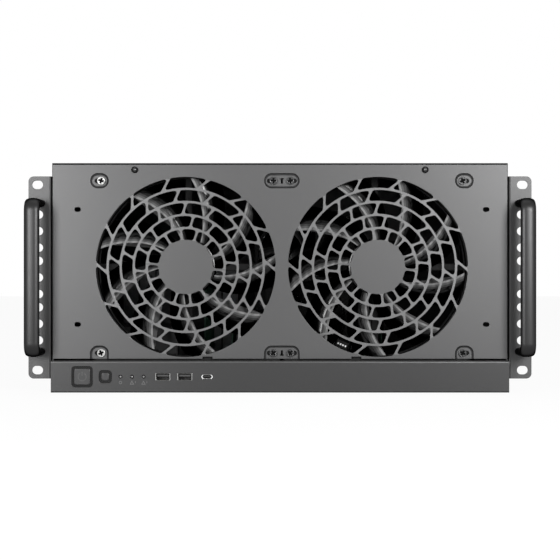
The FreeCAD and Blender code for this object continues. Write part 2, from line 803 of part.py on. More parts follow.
def rotor_shape(hub, tip, length, shaft, blades, kind="small"):
    """A hub with swept blades and a stub shaft, along +Y from the origin, first blade edge near +X."""
    pitch = 2 * math.pi / blades
    sweep = math.radians(size("blade_sweep"))
    root = hub * 0.8
    thickness = size("blade_thickness")

    def lead(radius):
        return sweep * (radius - hub) / (tip - hub)

    def width(radius):
        share = size(f"{kind}_root_share")
        share += (size(f"{kind}_tip_share") - share) * (radius - hub) / (tip - hub)
        return pitch * share

    def at(radius, angle):
        return Vector(radius * math.cos(angle), 0, radius * math.sin(angle))

    radii = [root + (tip - root) * step / 3 for step in range(4)]
    corners = [at(radius, lead(radius)) for radius in radii]
    corners.append(at(tip, lead(tip) - width(tip) / 2))
    corners += [at(radius, lead(radius) - width(radius)) for radius in reversed(radii)]
    plan = Part.Face(Part.makePolygon(corners + corners[:1])).extrude(Vector(0, length, 0))

    start = at(root, lead(root) - width(root) / 2)
    end = at(tip, lead(tip) - width(tip) / 2)
    along = (end - start).normalize()
    across = Vector(-along.z, 0, along.x)
    half = tip * math.sin(width(tip) / 2)
    rise = (length / 2 - thickness) / half
    reach = 2 * half
    centre = end + Vector(0, length / 2, 0)
    lift = Vector(0, thickness / 2, 0)
    front = centre + across * reach - Vector(0, rise * reach, 0)
    rear = centre - across * reach + Vector(0, rise * reach, 0)
    section = Part.Face(Part.makePolygon([front - lift, rear - lift, rear + lift, front + lift, front - lift]))
    section.translate(along * half)
    plate = section.extrude(along * -(tip + reach))
    blade = plan.common(plate)

    copies = []
    for step in range(int(blades)):
        copy = blade.copy()
        copy.rotate(Vector(), AXES["Y"], -math.degrees(pitch) * step)
        copies.append(copy)
    rim = [at(hub, pitch * step / 2) for step in range(2 * int(blades) + 1)]
    core = Part.Face(Part.makePolygon(rim)).extrude(Vector(0, length, 0))
    stub = Part.makeCylinder(size("shaft_radius"), shaft + length / 2, Vector(0, length / 2, 0), AXES["Y"])
    return core.multiFuse([stub] + copies)


def rotor(label, shape, x, y, z, turn, facing="Y"):
    """A rotor set on its axis: turned by an angle seen from the front, facing -Y or -X."""
    spinner = solid(shape)
    spin = FreeCAD.Rotation(AXES["Y"], -turn)
    if facing == "X":
        spin = FreeCAD.Rotation(AXES["Z"], -90) * spin
    spinner.Placement = FreeCAD.Placement(Vector(), spin)
    place(spinner, x, y, z)
    return node(label, spinner)


def fan_rotor(label, key, x, y, z, turn, blades, kind="small"):
    """The rotor that runs in a fan frame, clear of the bore and of the motor base."""
    length = size(f"{key}_depth") - size("fan_inset") - size("fan_base") - size("end_play")
    tip = size(f"{key}_bore") - size("tip_gap")
    shaft = size("end_play") + size("fan_base")
    shape = rotor_shape(size(f"{key}_hub"), tip, length, shaft, blades, kind)
    rotor(label, shape, x, f"{y} + fan_inset", z, turn)


def front_fans():
    screws = []
    for side, sign in SIDES:
        x = f"({sign}*fan_offset + front_shift)"
        fan_frame(f"{side}_fan_frame", "front_fan", x, FAN_FRONT, "fan_height")
        turn = size(f"{side}_blade_lead") - size("blade_sweep") / 2
        blades = size("front_fan_blades")
        fan_rotor(f"{side}_fan_rotor", "front_fan", x, FAN_FRONT, "fan_height", turn, blades, "front")
        for screw_x, screw_z in screw_places(x, "fan_height", "front_fan_holes"):
            at = (screw_x, f"{DIMPLE_FLOOR} - screw_head_height", screw_z)
            head = rod("Y", "screw_head_radius", at, "screw_head_height", FEW)
            stem = rod("Y", "screw_radius", at, "screw_head_height + gauge + 2*fan_flange", FEW)
            screws.append(fuse(head, stem))
    node("fan_screws", group(*screws))


def fan_plug():
    """The plug on the right fan's lead, held at the rim of the frame behind the blades."""
    width = size("plug_width")
    flat = size("front_fan_bore") * math.cos(math.pi / MANY)
    outer = math.sqrt(flat**2 - (width / 2) ** 2) - 0.2
    housing = Part.makeBox(
        size("plug_height"), size("plug_depth"), width, Vector(outer - size("plug_height"), 0, -width / 2)
    )
    plug = solid(housing)
    plug.Placement = FreeCAD.Placement(Vector(), FreeCAD.Rotation(AXES["Y"], -size("plug_turn")))
    place(plug, "fan_offset + front_shift", f"{FAN_FRONT} + front_fan_depth - plug_depth", "fan_height")
    node("fan_plug", plug)


# Controls on the strip
def square(x, z, side, corner, y):
    """A square with rounded corners, through the sheet from one depth to the other."""
    half = f"({side})/2"
    flat = f"({half} - {corner})"
    depth = f"({y[1]}) - ({y[0]})"
    wide = block((f"{x} - {half}", f"{x} + {half}"), y, (f"{z} - {flat}", f"{z} + {flat}"))
    tall = block((f"{x} - {flat}", f"{x} + {flat}"), y, (f"{z} - {half}", f"{z} + {half}"))
    places = [(f"{x} {a} {flat}", y[0], f"{z} {b} {flat}") for a in "-+" for b in "-+"]
    corners = [rod("Y", corner, at, depth, FEW) for at in places]
    return fuse(wide, tall, *corners)


IO_BOARD_FRONT = f"({STRIP_BACK} + io_board_gap)"
THROUGH_STRIP = (f"{STRIP_FRONT} - gauge", f"{STRIP_BACK} + gauge")
BUTTONS = ("power", "reset")


def lamp_places():
    return [f"(lamp_x + {step}*lamp_pitch)" for step in range(3)]


def usb_a_places():
    return [f"(usb_a_x + {step}*usb_a_pitch)" for step in range(2)]


def centred(x, width):
    return (f"{x} - ({width})/2", f"{x} + ({width})/2")


def io_strip():
    points = [
        (STRIP_FRONT, "0"),
        (STRIP_BACK, "0"),
        (STRIP_BACK, "strip_height - gauge"),
        (PANEL_BACK, "strip_height - gauge"),
        (PANEL_BACK, "strip_height"),
        (STRIP_FRONT, "strip_height"),
    ]
    face = prism("YZ_Plane", points, f"-{HALF}", HALF)
    front = -size("chassis_depth") / 2 - size("strip_reach")
    top = size("strip_height")
    rounded(
        face, "strip_bend", lambda edge, at: runs_along(edge, "X") and close(at.y, front) and close(at.z, top)
    )
    cheeks = [
        block(sided(sign, INSIDE, HALF), (STRIP_BACK, PANEL_BACK), ("0", "strip_height")) for _, sign in SIDES
    ]
    holes = [
        square(f"{name}_x", "control_height", f"{name}_hole", "button_corner", THROUGH_STRIP) for name in BUTTONS
    ]
    depth = f"({THROUGH_STRIP[1]}) - ({THROUGH_STRIP[0]})"
    for x in lamp_places():
        holes.append(rod("Y", "lamp_radius + lip_gap/3", (x, THROUGH_STRIP[0], "control_height"), depth, FEW))
    for x in usb_a_places():
        height = centred("control_height", "usb_a_height + lip_gap")
        holes.append(block(centred(x, "usb_a_width + lip_gap"), THROUGH_STRIP, height))
    mouth = ("usb_c_width + lip_gap", "usb_c_height + lip_gap")
    holes.append(stadium("usb_c_x", "control_height", *mouth, THROUGH_STRIP, FEW))
    node("io_strip", cut(fuse(face, *cheeks), *holes))


def io_board():
    board_y = (IO_BOARD_FRONT, f"{IO_BOARD_FRONT} + board_thickness")
    node("io_board", block(("io_board_left", "io_board_right"), board_y, ("gauge", "io_board_top")))
    between = "(lamp_x + 2*lamp_pitch + usb_a_x - usb_a_width/2)/2"
    places = ["io_board_left + 1.4*post_radius", between, "io_board_right - 1.4*post_radius"]
    posts = [rod("Y", "post_radius", (x, STRIP_BACK, "control_height"), "io_board_gap", 6) for x in places]
    node("io_board_posts", group(*posts))


def buttons():
    """Caps that stand in wider holes, held by a rim behind the strip; each pushes a switch on the board."""
    switches = []
    switch_front = f"({IO_BOARD_FRONT} - switch_body/2)"
    rim_y = (f"{STRIP_BACK} + button_gap", f"{STRIP_BACK} + button_gap + button_rim")
    for name in BUTTONS:
        x = f"{name}_x"
        cap = square(x, "control_height", f"{name}_cap", "button_corner*0.75", (STRIP_FRONT, rim_y[1]))
        rim = square(x, "control_height", f"{name}_hole + 2*button_rim", "button_corner", rim_y)
        reach = f"{switch_front} - button_travel - button_gap - ({rim_y[1]})"
        stem = rod("Y", "switch_body/3", (x, rim_y[1], "control_height"), reach, FEW)
        node(f"{name}_button", fuse(cap, rim, stem))
        side = centred(x, "switch_body")
        switches.append(block(side, (switch_front, IO_BOARD_FRONT), centred("control_height", "switch_body")))
    node("button_switches", group(*switches))


def lamps():
    front = f"{STRIP_FRONT} - lamp_stand"
    reach = f"{IO_BOARD_FRONT} - ({front})"
    lenses = [rod("Y", "lamp_radius", (x, front, "control_height"), reach, FEW) for x in lamp_places()]
    node("status_lenses", group(*lenses))


def usb_sockets():
    mouth = f"{STRIP_FRONT} - socket_stand"
    shells = []
    tongues = []
    for x in usb_a_places():
        outer = block(
            centred(x, "usb_a_width"), (mouth, IO_BOARD_FRONT), centred("control_height", "usb_a_height")
        )
        space = block(
            centred(x, "usb_a_width - 2*usb_wall"),
            (mouth, f"{IO_BOARD_FRONT} - usb_wall"),
            centred("control_height", "usb_a_height - 2*usb_wall"),
        )
        shells.append(cut(outer, space))
        ceiling = "(control_height + usb_a_height/2 - usb_wall)"
        tongues.append(
            block(
                centred(x, "usb_a_width - 5*usb_wall"),
                (f"{STRIP_BACK} + usb_wall", f"{IO_BOARD_FRONT} - usb_wall"),
                (f"{ceiling} - 1.4*usb_tongue", f"{ceiling} - 0.4*usb_tongue"),
            )
        )
    node("usb_a_shells", group(*shells))
    node("usb_a_tongues", group(*tongues))
    shell_y = (mouth, IO_BOARD_FRONT)
    space_y = (mouth, f"{IO_BOARD_FRONT} - usb_wall")
    outer = stadium("usb_c_x", "control_height", "usb_c_width", "usb_c_height", shell_y, FEW)
    inside = ("usb_c_width - 2*usb_wall", "usb_c_height - 2*usb_wall")
    space = stadium("usb_c_x", "control_height", *inside, space_y, FEW)
    node("usb_c_shell", cut(outer, space))
    tongue = block(
        centred("usb_c_x", "usb_c_width - 6*usb_wall"),
        (f"{STRIP_BACK} + usb_wall", space_y[1]),
        centred("control_height", "usb_tongue/3"),
    )
    node("usb_c_tongue", tongue)


# Main board and what stands on it
BOARD_BOTTOM = "(gauge + standoff_height)"
BOARD_TOP = f"({BOARD_BOTTOM} + board_thickness)"
BOARD_LEFT = "(board_right - board_width)"
BOARD_REAR = f"({REAR_INSIDE} - board_rear_gap)"
BOARD_FRONT = f"({BOARD_REAR} - board_depth)"
CONNECTOR_TOP = f"({BOARD_TOP} + connector_height)"


def motherboard():
    board = block((BOARD_LEFT, "board_right"), (BOARD_FRONT, BOARD_REAR), (BOARD_BOTTOM, BOARD_TOP))
    node("motherboard", board)
    inset = "2*standoff_radius"
    columns = [f"{BOARD_LEFT} + {inset}", f"{BOARD_LEFT} + board_width/2", f"board_right - {inset}"]
    rows = [f"{BOARD_FRONT} + {inset}", f"{BOARD_FRONT} + board_depth/2", f"{BOARD_REAR} - {inset}"]
    feet = [(x, y, "gauge") for x in columns for y in rows]
    posts = [rod("Z", "standoff_radius", at, "standoff_height", 6) for at in feet]
    node("board_standoffs", group(*posts))


def card_socket(x, y, width, height, card, depth):
    """A long connector on the board with a slot that takes the edge of a card."""
    body = block(centred(x, width), y, (BOARD_TOP, f"{BOARD_TOP} + {height}"))
    rim = "2*board_thickness"
    slot_y = (f"{y[0]} + {rim}", f"{y[1]} - {rim}")
    slot_z = (f"{BOARD_TOP} + {height} - {depth}", f"{BOARD_TOP} + {height} + {depth}")
    return cut(body, block(centred(x, f"{card} + 2*card_slot_gap"), slot_y, slot_z))


def slot_x(step):
    return f"(slot_first - {step}*slot_pitch)"


CONNECTOR_Y = (f"{REAR_INSIDE} - connector_rear - connector_length", f"{REAR_INSIDE} - connector_rear")


def expansion_connectors():
    sockets = []
    for step in range(int(size("slot_count"))):
        sockets.append(
            card_socket(
                slot_x(step),
                CONNECTOR_Y,
                "connector_width",
                "connector_height",
                "board_thickness",
                "card_slot_depth",
            )
        )
    node("expansion_connectors", group(*sockets))


def memory():
    """Banks of modules on both sides of the processor, in line with the air."""
    span = ("cpu_y - memory_length/2 - 4*board_thickness", "cpu_y + memory_length/2 + 4*board_thickness")
    sockets = []
    modules = []
    seat = f"({BOARD_TOP} + memory_socket - memory_width/2)"
    for _, sign in SIDES:
        for step in range(int(size("memory_banks"))):
            x = f"(cpu_x + {sign}*(memory_offset + {step}*memory_pitch))"
            sockets.append(
                card_socket(x, span, "memory_width", "memory_socket", "memory_thickness", "memory_width/2")
            )
            length = ("cpu_y - memory_length/2", "cpu_y + memory_length/2")
            modules.append(block(centred(x, "memory_thickness"), length, (seat, f"{seat} + memory_height")))
    node("memory_sockets", group(*sockets))
    node("memory_modules", group(*modules))


LID_TOP = f"({BOARD_TOP} + socket_height + lid_height)"


def processor():
    socket_z = (BOARD_TOP, f"{BOARD_TOP} + socket_height")
    socket = block(centred("cpu_x", "socket_width"), centred("cpu_y", "socket_depth"), socket_z)
    node("processor_socket", socket)
    lid = block(centred("cpu_x", "lid_width"), centred("cpu_y", "lid_depth"), (socket_z[1], LID_TOP))
    node("processor", lid)


def processor_heatsink():
    """An extruded heat sink: a base with upright fins, in line with the air."""
    fins = int(size("sink_fins"))
    side = "(cpu_x - sink_width/2)"
    gap = f"((sink_width - sink_fin)/{fins - 1})"
    points = [(f"cpu_x + sink_width/2", LID_TOP), (side, LID_TOP)]
    for step in range(fins):
        left = f"{side} + {step}*{gap}"
        points += [(left, f"{LID_TOP} + sink_height"), (f"{left} + sink_fin", f"{LID_TOP} + sink_height")]
        if step < fins - 1:
            points += [(f"{left} + sink_fin", f"{LID_TOP} + sink_base")]
            points += [(f"{side} + {step + 1}*{gap}", f"{LID_TOP} + sink_base")]
    comb = prism("XZ_Plane", points, "cpu_y - sink_depth/2", "cpu_y + sink_depth/2")
    node("processor_heatsink", comb)


COOLER_Y = "(cpu_y - sink_depth/2 - cooler_fan_depth)"
COOLER_Z = f"({LID_TOP} + sink_height/2)"


def cooler_fan():
    fan_frame("cooler_fan_frame", "cooler_fan", "cpu_x", COOLER_Y, COOLER_Z, False)
    fan_rotor("cooler_fan_rotor", "cooler_fan", "cpu_x", COOLER_Y, COOLER_Z, 0, size("small_blades"))


def board_parts():
    chip_x = centred("chip_x", "chip_sink_size")
    chip_y = centred("chip_y", "chip_sink_size")
    base = block(chip_x, chip_y, (BOARD_TOP, f"{BOARD_TOP} + chip_sink_height/3"))
    step = "chip_sink_size/5"
    ribs = []
    for rib in range(5):
        left = f"({chip_x[0]} + {rib}*{step} + {step}/4)"
        ribs.append(block((left, f"{left} + {step}/2"), chip_y, (BOARD_TOP, f"{BOARD_TOP} + chip_sink_height")))
    node("chipset_heatsink", fuse(base, *ribs))
    socket_z = (BOARD_TOP, f"{BOARD_TOP} + connector_height")
    edge_y = (f"{BOARD_FRONT} + board_thickness", f"{BOARD_FRONT} + board_thickness + connector_height")
    main_right = "(board_right - main_power_inset)"
    main_left = f"({main_right} - main_power_length)"
    extra_right = f"({main_left} - extra_power_gap)"
    main = block((main_left, main_right), edge_y, socket_z)
    extra = block((f"{extra_right} - extra_power_length", extra_right), edge_y, socket_z)
    node("board_power_sockets", group(main, extra))


SHIELD_X = ("(board_right - shield_inset - shield_width)", "(board_right - shield_inset)")
SHIELD_Z = (f"({BOARD_BOTTOM} - lip_gap)", f"({BOARD_BOTTOM} - lip_gap + shield_height)")
# Rear ports from the right end of the shield: width and height
PORTS = (
    ("usb_port_width", "usb_port_height"),
    ("usb_port_width", "usb_port_height"),
    ("net_port_width", "net_port_height"),
    ("net_port_width", "net_port_height"),
    ("usb_port_width", "tall_port_height"),
    ("audio_port_width", "audio_port_height"),
)


def rear_ports():
    ports = []
    holes = []
    right = f"{SHIELD_X[1]} - port_margin"
    for width, height in PORTS:
        span = (f"{right} - {width}", right)
        mouth_x = (f"{right} - {width} + port_wall", f"{right} - port_wall")
        hole_x = (f"{right} - {width} - lip_gap", f"{right} + lip_gap")
        right = f"{right} - {width} - port_gap"
        port_y = (f"{REAR_INSIDE} - port_depth", f"{REAR} + socket_stand")
        body = block(span, port_y, (BOARD_TOP, f"{BOARD_TOP} + {height}"))
        mouth_y = (f"{REAR} - port_depth/2", f"{REAR} + gauge")
        mouth = block(mouth_x, mouth_y, (f"{BOARD_TOP} + port_wall", f"{BOARD_TOP} + {height} - port_wall"))
        ports.append(cut(body, mouth))
        hole_z = (f"{BOARD_TOP} - lip_gap", f"{BOARD_TOP} + {height} + lip_gap")
        holes.append(block(hole_x, (f"{REAR_INSIDE} - gauge", REAR), hole_z))
    node("rear_ports", group(*ports))
    plate = block(
        (f"{SHIELD_X[0]} - shield_lip", f"{SHIELD_X[1]} + shield_lip"),
        (f"{REAR_INSIDE} - gauge/2", REAR_INSIDE),
        (f"{SHIELD_Z[0]} - shield_lip", f"{SHIELD_Z[1]} + shield_lip"),
    )
    node("io_shield", cut(plate, *holes))


# Rear panel
SLOT_BOTTOM = f"({BOARD_TOP} + slot_margin/2)"
COVER_Z = (f"({SLOT_BOTTOM} - slot_margin/3)", "(slot_top + slot_margin)")
COVER_Y = (f"{REAR_INSIDE} - slot_cover_gauge", REAR_INSIDE)
PSU_X = (f"({HALF} - psu_wall_gap - psu_width)", f"({HALF} - psu_wall_gap)")
PSU_MID = f"({HALF} - psu_wall_gap - psu_width/2)"
PSU_Y = (f"({REAR_INSIDE} - psu_depth)", REAR_INSIDE)
PSU_Z = ("gauge", "(gauge + psu_height)")


def psu_screw_places():
    reach_x = "(psu_width/2 - psu_screw_inset)"
    reach_z = "(psu_height/2 - psu_screw_inset)"
    return [
        (f"{PSU_MID} {a} {reach_x}", f"gauge + psu_height/2 {b} {reach_z}") for a in "-+" for b in "-+"
    ]


def vent_tool():
    """A round opening crossed by level bars."""
    middle = ("rear_fan_x", f"{REAR_INSIDE} - gauge", "rear_fan_height")
    disc = rod("Y", "rear_fan_bore", middle, "3*gauge", MANY)
    bars = []
    count = int(size("vent_bars"))
    for step in range(1, count):
        z = f"(rear_fan_height + rear_fan_bore*{2 * step / count - 1})"
        span = centred("rear_fan_x", "2*rear_fan_bore + 2*gauge")
        bars.append(block(span, (f"{REAR_INSIDE} - 2*gauge", f"{REAR} + 2*gauge"), centred(z, "vent_bar")))
    return cut(disc, *bars)


def rear_panel():
    lower = block((f"-{HALF}", HALF), (REAR_INSIDE, REAR), ("0", JOGGLE))
    upper = block((f"-{NECK}", NECK), (REAR_INSIDE, REAR), (JOGGLE, SHELF_TOP))
    through = (f"{REAR_INSIDE} - gauge", f"{REAR} + gauge")
    holes = [
        block(
            (f"{PSU_X[0]} + 2*psu_margin", f"{PSU_X[1]} - 2*psu_margin"),
            through,
            (f"{PSU_Z[0]} + 2*psu_margin", f"{PSU_Z[1]} - 2*psu_margin"),
        ),
        block(SHIELD_X, through, SHIELD_Z),
        vent_tool(),
    ]
    for step in range(int(size("slot_count"))):
        holes.append(block(centred(slot_x(step), "slot_opening"), through, (SLOT_BOTTOM, "slot_top")))
    for x, z in psu_screw_places() + screw_places("rear_fan_x", "rear_fan_height", "rear_fan_holes"):
        holes.append(rod("Y", HOLE, (x, through[0], z), "3*gauge", FEW))
    node("rear_panel", cut(fuse(lower, upper), *holes))


def bracket(low, high):
    """A slot plate inside the rear panel with its tab bent forward at the top."""
    plate = block((low, high), COVER_Y, COVER_Z)
    tab_y = (f"{REAR_INSIDE} - slot_cover_tab", REAR_INSIDE)
    tab = block((low, high), tab_y, (f"{COVER_Z[1]} - slot_cover_gauge", COVER_Z[1]))
    return fuse(plate, tab)


def slot_covers():
    taken = int(size("card_slot"))
    covers = []
    for step in range(int(size("slot_count"))):
        if step not in (taken, taken + 1):
            covers.append(bracket(*centred(slot_x(step), "slot_cover_width")))
    node("slot_covers", group(*covers))


REAR_FAN_Y = f"({REAR_INSIDE} - rear_fan_depth)"


def rear_fan():
    fan_frame("rear_fan_frame", "rear_fan", "rear_fan_x", REAR_FAN_Y, "rear_fan_height", False)
    blades = size("small_blades")
    fan_rotor("rear_fan_rotor", "rear_fan", "rear_fan_x", REAR_FAN_Y, "rear_fan_height", 0, blades)


def rear_screws():
    """Screws set from behind the rear panel, into the fan and the power supply."""
    for label, places in (
        ("rear_fan_screws", screw_places("rear_fan_x", "rear_fan_height", "rear_fan_holes")),
        ("psu_screws", psu_screw_places()),
    ):
        screws = []
        for x, z in places:
            start = (x, f"{REAR_INSIDE} - 2*screw_radius", z)
            head = rod("Y", "screw_head_radius", (x, REAR, z), "screw_head_height", FEW)
            screws.append(fuse(head, rod("Y", "screw_radius", start, "2*screw_radius + 2*gauge", FEW)))
        node(label, group(*screws))


# Power supply
PSU_FAN = (PSU_X[0], f"({REAR_INSIDE} - psu_fan_rear)", "(gauge + psu_height/2)")
INLET_Z = "(gauge + psu_height - inlet_drop)"
ROCKER = (PSU_MID, f"({REAR_INSIDE} - rocker_pin)", f"({INLET_Z} - rocker_drop)")


def sunk_fan(corner, bore, recess, hub):
    """Tools for a fan let into a block along +X: the round recess, its boss and the sleeve in the boss."""
    x, y, z = corner
    well = rod("X", bore, corner, recess, MANY)
    floor = f"({x} + {recess} - psu_fan_boss)"
    boss = rod("X", hub, (floor, y, z), "psu_fan_boss", 2 * FEW)
    sleeve = rod("X", "shaft_radius + shaft_play", (floor, y, z), "1.6*psu_fan_boss")
    return well, boss, sleeve


def power_supply():
    case = block(PSU_X, PSU_Y, PSU_Z)
    well, boss, sleeve = sunk_fan(PSU_FAN, "psu_fan_bore", "psu_fan_recess", "psu_fan_hub")
    inlet_y = (f"{REAR} - inlet_depth", f"{REAR} + gauge")
    pit = block(centred(PSU_MID, "inlet_width"), inlet_y, centred(INLET_Z, "inlet_height"))
    pocket = block(
        centred(PSU_MID, "rocker_width + 2*rocker_gap"),
        (f"{ROCKER[1]} - rocker_depth", f"{REAR} + gauge"),
        centred(ROCKER[2], "rocker_height + 2*rocker_gap"),
    )
    pin_length = "(rocker_width + 4*rocker_pin + 4*rocker_gap)"
    pin_hole = rod("X", "rocker_pin + shaft_play", (f"{PSU_MID} - {pin_length}/2", *ROCKER[1:]), pin_length)
    bottom = f"{REAR_INSIDE} - 3*screw_radius"
    threads = [rod("Y", HOLE, (x, bottom, z), "3*screw_radius", FEW) for x, z in psu_screw_places()]
    hollow = cut(case, well, pit, pocket, pin_hole, *threads)
    node("psu_case", cut(fuse(hollow, boss), sleeve))
    length = size("psu_fan_recess") - size("psu_fan_boss") - size("end_play") - size("fan_inset")
    shaft = size("end_play") + size("psu_fan_boss")
    tip = size("psu_fan_bore") - size("tip_gap")
    shape = rotor_shape(size("psu_fan_hub"), tip, length, shaft, size("small_blades"))
    rotor("psu_fan_rotor", shape, f"{PSU_FAN[0]} + fan_inset", *PSU_FAN[1:], 0, "X")


def ac_inlet():
    outer = block(
        centred(PSU_MID, "inlet_width"), (f"{REAR} - inlet_depth", REAR), centred(INLET_Z, "inlet_height")
    )
    cavity = block(
        centred(PSU_MID, "inlet_width - 2*inlet_wall"),
        (f"{REAR} - inlet_depth + inlet_wall", f"{REAR} + gauge"),
        centred(INLET_Z, "inlet_height - 2*inlet_wall"),
    )
    pin_y = (f"{REAR} - inlet_depth", f"{REAR} - inlet_depth + inlet_wall + inlet_pin")
    pins = []
    for side, rise in (("-", "-"), ("+", "-"), (None, "+")):
        x = PSU_MID if side is None else f"({PSU_MID} {side} inlet_width/4)"
        z = f"({INLET_Z} {rise} inlet_height/8)"
        pins.append(block(centred(x, "inlet_wall"), pin_y, centred(z, "2*inlet_wall")))
    node("ac_inlet", fuse(cut(outer, cavity), *pins))


def psu_switch():
    """A rocker on a cross pin, resting tilted to one side."""
    tip = "rocker_height/2"
    points = [
        ("-rocker_depth/2", f"-{tip} + rocker_pin"),
        ("-rocker_depth/2", f"{tip} - rocker_pin"),
        ("rocker_depth/3", tip),
        ("rocker_pin", "0"),
        ("rocker_depth/3", f"-{tip}"),
    ]
    paddle = prism("YZ_Plane", points, "-rocker_width/2", "rocker_width/2")
    pin_length = "(rocker_width + 3*rocker_pin + 3*rocker_gap)"
    pin = rod("X", "rocker_pin", (f"-{pin_length}/2", "0", "0"), pin_length)
    rocker = fuse(paddle, pin)
    rocker.Placement = FreeCAD.Placement(Vector(), FreeCAD.Rotation(AXES["X"], size("rocker_tilt")))
    place(rocker, *ROCKER)
    node("psu_switch", rocker)


# Graphics card
def graphics_card():
    taken = int(size("card_slot"))
    x = slot_x(taken)
    rear = COVER_Y[0]
    front = f"({rear} - card_length)"
    bottom = f"({CONNECTOR_TOP} + card_slot_gap)"
    board_x = centred(x, "board_thickness")
    board = block(board_x, (front, rear), (bottom, f"{bottom} + card_height"))
    tab_y = (f"{CONNECTOR_Y[0]} + 3*board_thickness", f"{CONNECTOR_Y[1]} - 3*board_thickness")
    tab = block(board_x, tab_y, (f"{CONNECTOR_TOP} - card_slot_depth + card_slot_gap", bottom))
    node("graphics_board", fuse(board, tab))

    inner = f"({x} - board_thickness/2)"
    outer = f"({inner} - card_sink)"
    block_z = (f"{bottom} + card_margin", f"{bottom} + card_height - card_margin")
    cooler = block((outer, inner), (f"{front} + card_margin", f"{rear} - card_margin"), block_z)
    hub = (outer, f"({front} + card_fan_front)", f"({bottom} + card_height/2)")
    well, boss, sleeve = sunk_fan(hub, "card_fan_bore", "card_fan_recess", "card_fan_hub")
    node("graphics_cooler", cut(fuse(cut(cooler, well), boss), sleeve))
    length = size("card_fan_recess") - size("psu_fan_boss") - size("end_play") - size("fan_inset")
    shaft = size("end_play") + size("psu_fan_boss")
    tip = size("card_fan_bore") - size("tip_gap")
    shape = rotor_shape(size("card_fan_hub"), tip, length, shaft, size("small_blades"))
    rotor("graphics_fan_rotor", shape, f"{outer} + fan_inset", *hub[1:], 0, "X")
    edge = "slot_cover_width/2"
    node("graphics_bracket", bracket(f"{slot_x(taken + 1)} - {edge}", f"{x} + {edge}"))


# Drives
def drives():
    """Two disk drives one above the other in a trough on the floor."""
    count = int(size("drive_count"))
    pitch = "(drive_height + drive_gap)"
    left = ("(drive_left)", "(drive_left + gauge)")
    inner = ("(drive_left + gauge + drive_play)", "(drive_left + gauge + drive_play + drive_width)")
    right = (f"({inner[1]} + drive_play)", f"({inner[1]} + drive_play + gauge)")
    top = f"(2*gauge + {count}*{pitch})"
    points = [
        (left[0], "gauge"),
        (right[1], "gauge"),
        (right[1], top),
        (right[0], top),
        (right[0], "2*gauge"),
        (left[1], "2*gauge"),
        (left[1], top),
        (left[0], top),
    ]
    span = ("drive_rear - drive_length", "drive_rear")
    node("drive_cage", prism("XZ_Plane", points, *span))
    disks = []
    for step in range(count):
        bottom = f"(2*gauge + drive_play + {step}*{pitch})"
        disks.append(block(inner, span, (bottom, f"{bottom} + drive_height")))
    node("disk_drives", group(*disks))


MAKERS = (
    floor_pan,
    side_walls,
    top_cover,
    front_panel,
    snap_studs,
    rack_ears,
    handles,
    ear_screws,
    front_fans,
    fan_plug,
    io_strip,
    io_board,
    buttons,
    lamps,
    usb_sockets,
    motherboard,
    expansion_connectors,
    memory,
    processor,
    processor_heatsink,
    cooler_fan,
    board_parts,
    rear_ports,
    rear_panel,
    slot_covers,
    rear_fan,
    rear_screws,
    power_supply,
    ac_inlet,
    psu_switch,
    graphics_card,
    drives,
)
for maker in MAKERS:
    maker()
doc.recompute()

failed = [thing.Label for thing in doc.Objects if {"Invalid", "Error"} & set(thing.State)]
failed += [thing.Label for thing in nodes if thing.Shape.isNull() or not thing.Shape.isValid()]
if failed:
    raise RuntimeError(f"not built: {failed}")
os.makedirs("parts", exist_ok=True)
for thing in nodes:
    thing.Shape.exportStep(f"parts/{thing.Label}.step")
print(len(nodes), "sub-parts")
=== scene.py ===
# %% [markdown]
# # Dressing a rackmount workstation
# The solid model gives every piece its place and size. This lesson loads it as a fixed frame and
# then makes the pieces that the eye rests on: the pressed front panel with its slotted grilles, the
# fans behind them, the ears, the bar handles and the control strip. Sizes below are in millimetres,
# as on a maker's drawing, and each mesh is scaled to metres when it is made.

import math
from collections import namedtuple

import bmesh
import bpy
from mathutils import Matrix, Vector


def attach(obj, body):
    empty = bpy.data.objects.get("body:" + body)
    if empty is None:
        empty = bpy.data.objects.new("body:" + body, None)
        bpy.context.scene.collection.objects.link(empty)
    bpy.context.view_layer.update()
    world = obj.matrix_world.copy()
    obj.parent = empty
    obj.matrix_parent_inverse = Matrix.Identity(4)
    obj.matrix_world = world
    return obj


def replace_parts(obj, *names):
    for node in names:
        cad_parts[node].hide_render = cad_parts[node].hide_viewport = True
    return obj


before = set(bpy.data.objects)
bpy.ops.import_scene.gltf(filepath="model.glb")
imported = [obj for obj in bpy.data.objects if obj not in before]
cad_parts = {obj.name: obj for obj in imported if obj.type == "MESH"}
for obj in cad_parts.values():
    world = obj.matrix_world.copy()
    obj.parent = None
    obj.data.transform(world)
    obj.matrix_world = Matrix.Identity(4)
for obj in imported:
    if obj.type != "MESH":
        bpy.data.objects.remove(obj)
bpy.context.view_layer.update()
MM = 0.001

# %% [markdown]
# ## Camera
# The picture was taken straight from the front with a long lens. The rack slots are a known
# distance apart, so they give the scale in the plane of the ears. A long lens far away keeps the
# handles, which stand forward, from looking much larger than the panel behind them.

# %% Camera
EAR_FACE = -221.0
DISTANCE = 1580.0
PIXELS_PER_MM = 1.0425
PICTURE = 560
CAMERA_Z = 109.0
PICTURE_SHIFT = -2.0
camera_data = bpy.data.cameras.new("front_camera")
camera_data.sensor_width = 36.0
camera_data.lens = PIXELS_PER_MM * DISTANCE * camera_data.sensor_width / PICTURE
camera_data.shift_y = PICTURE_SHIFT / PICTURE
camera = bpy.data.objects.new("front_camera", camera_data)
camera.location = (0.0, (EAR_FACE - DISTANCE) * MM, CAMERA_Z * MM)
camera.rotation_euler = (math.pi / 2, 0, 0)
bpy.context.scene.collection.objects.link(camera)
bpy.context.scene.camera = camera
print("lens", round(camera_data.lens, 1), "mm")

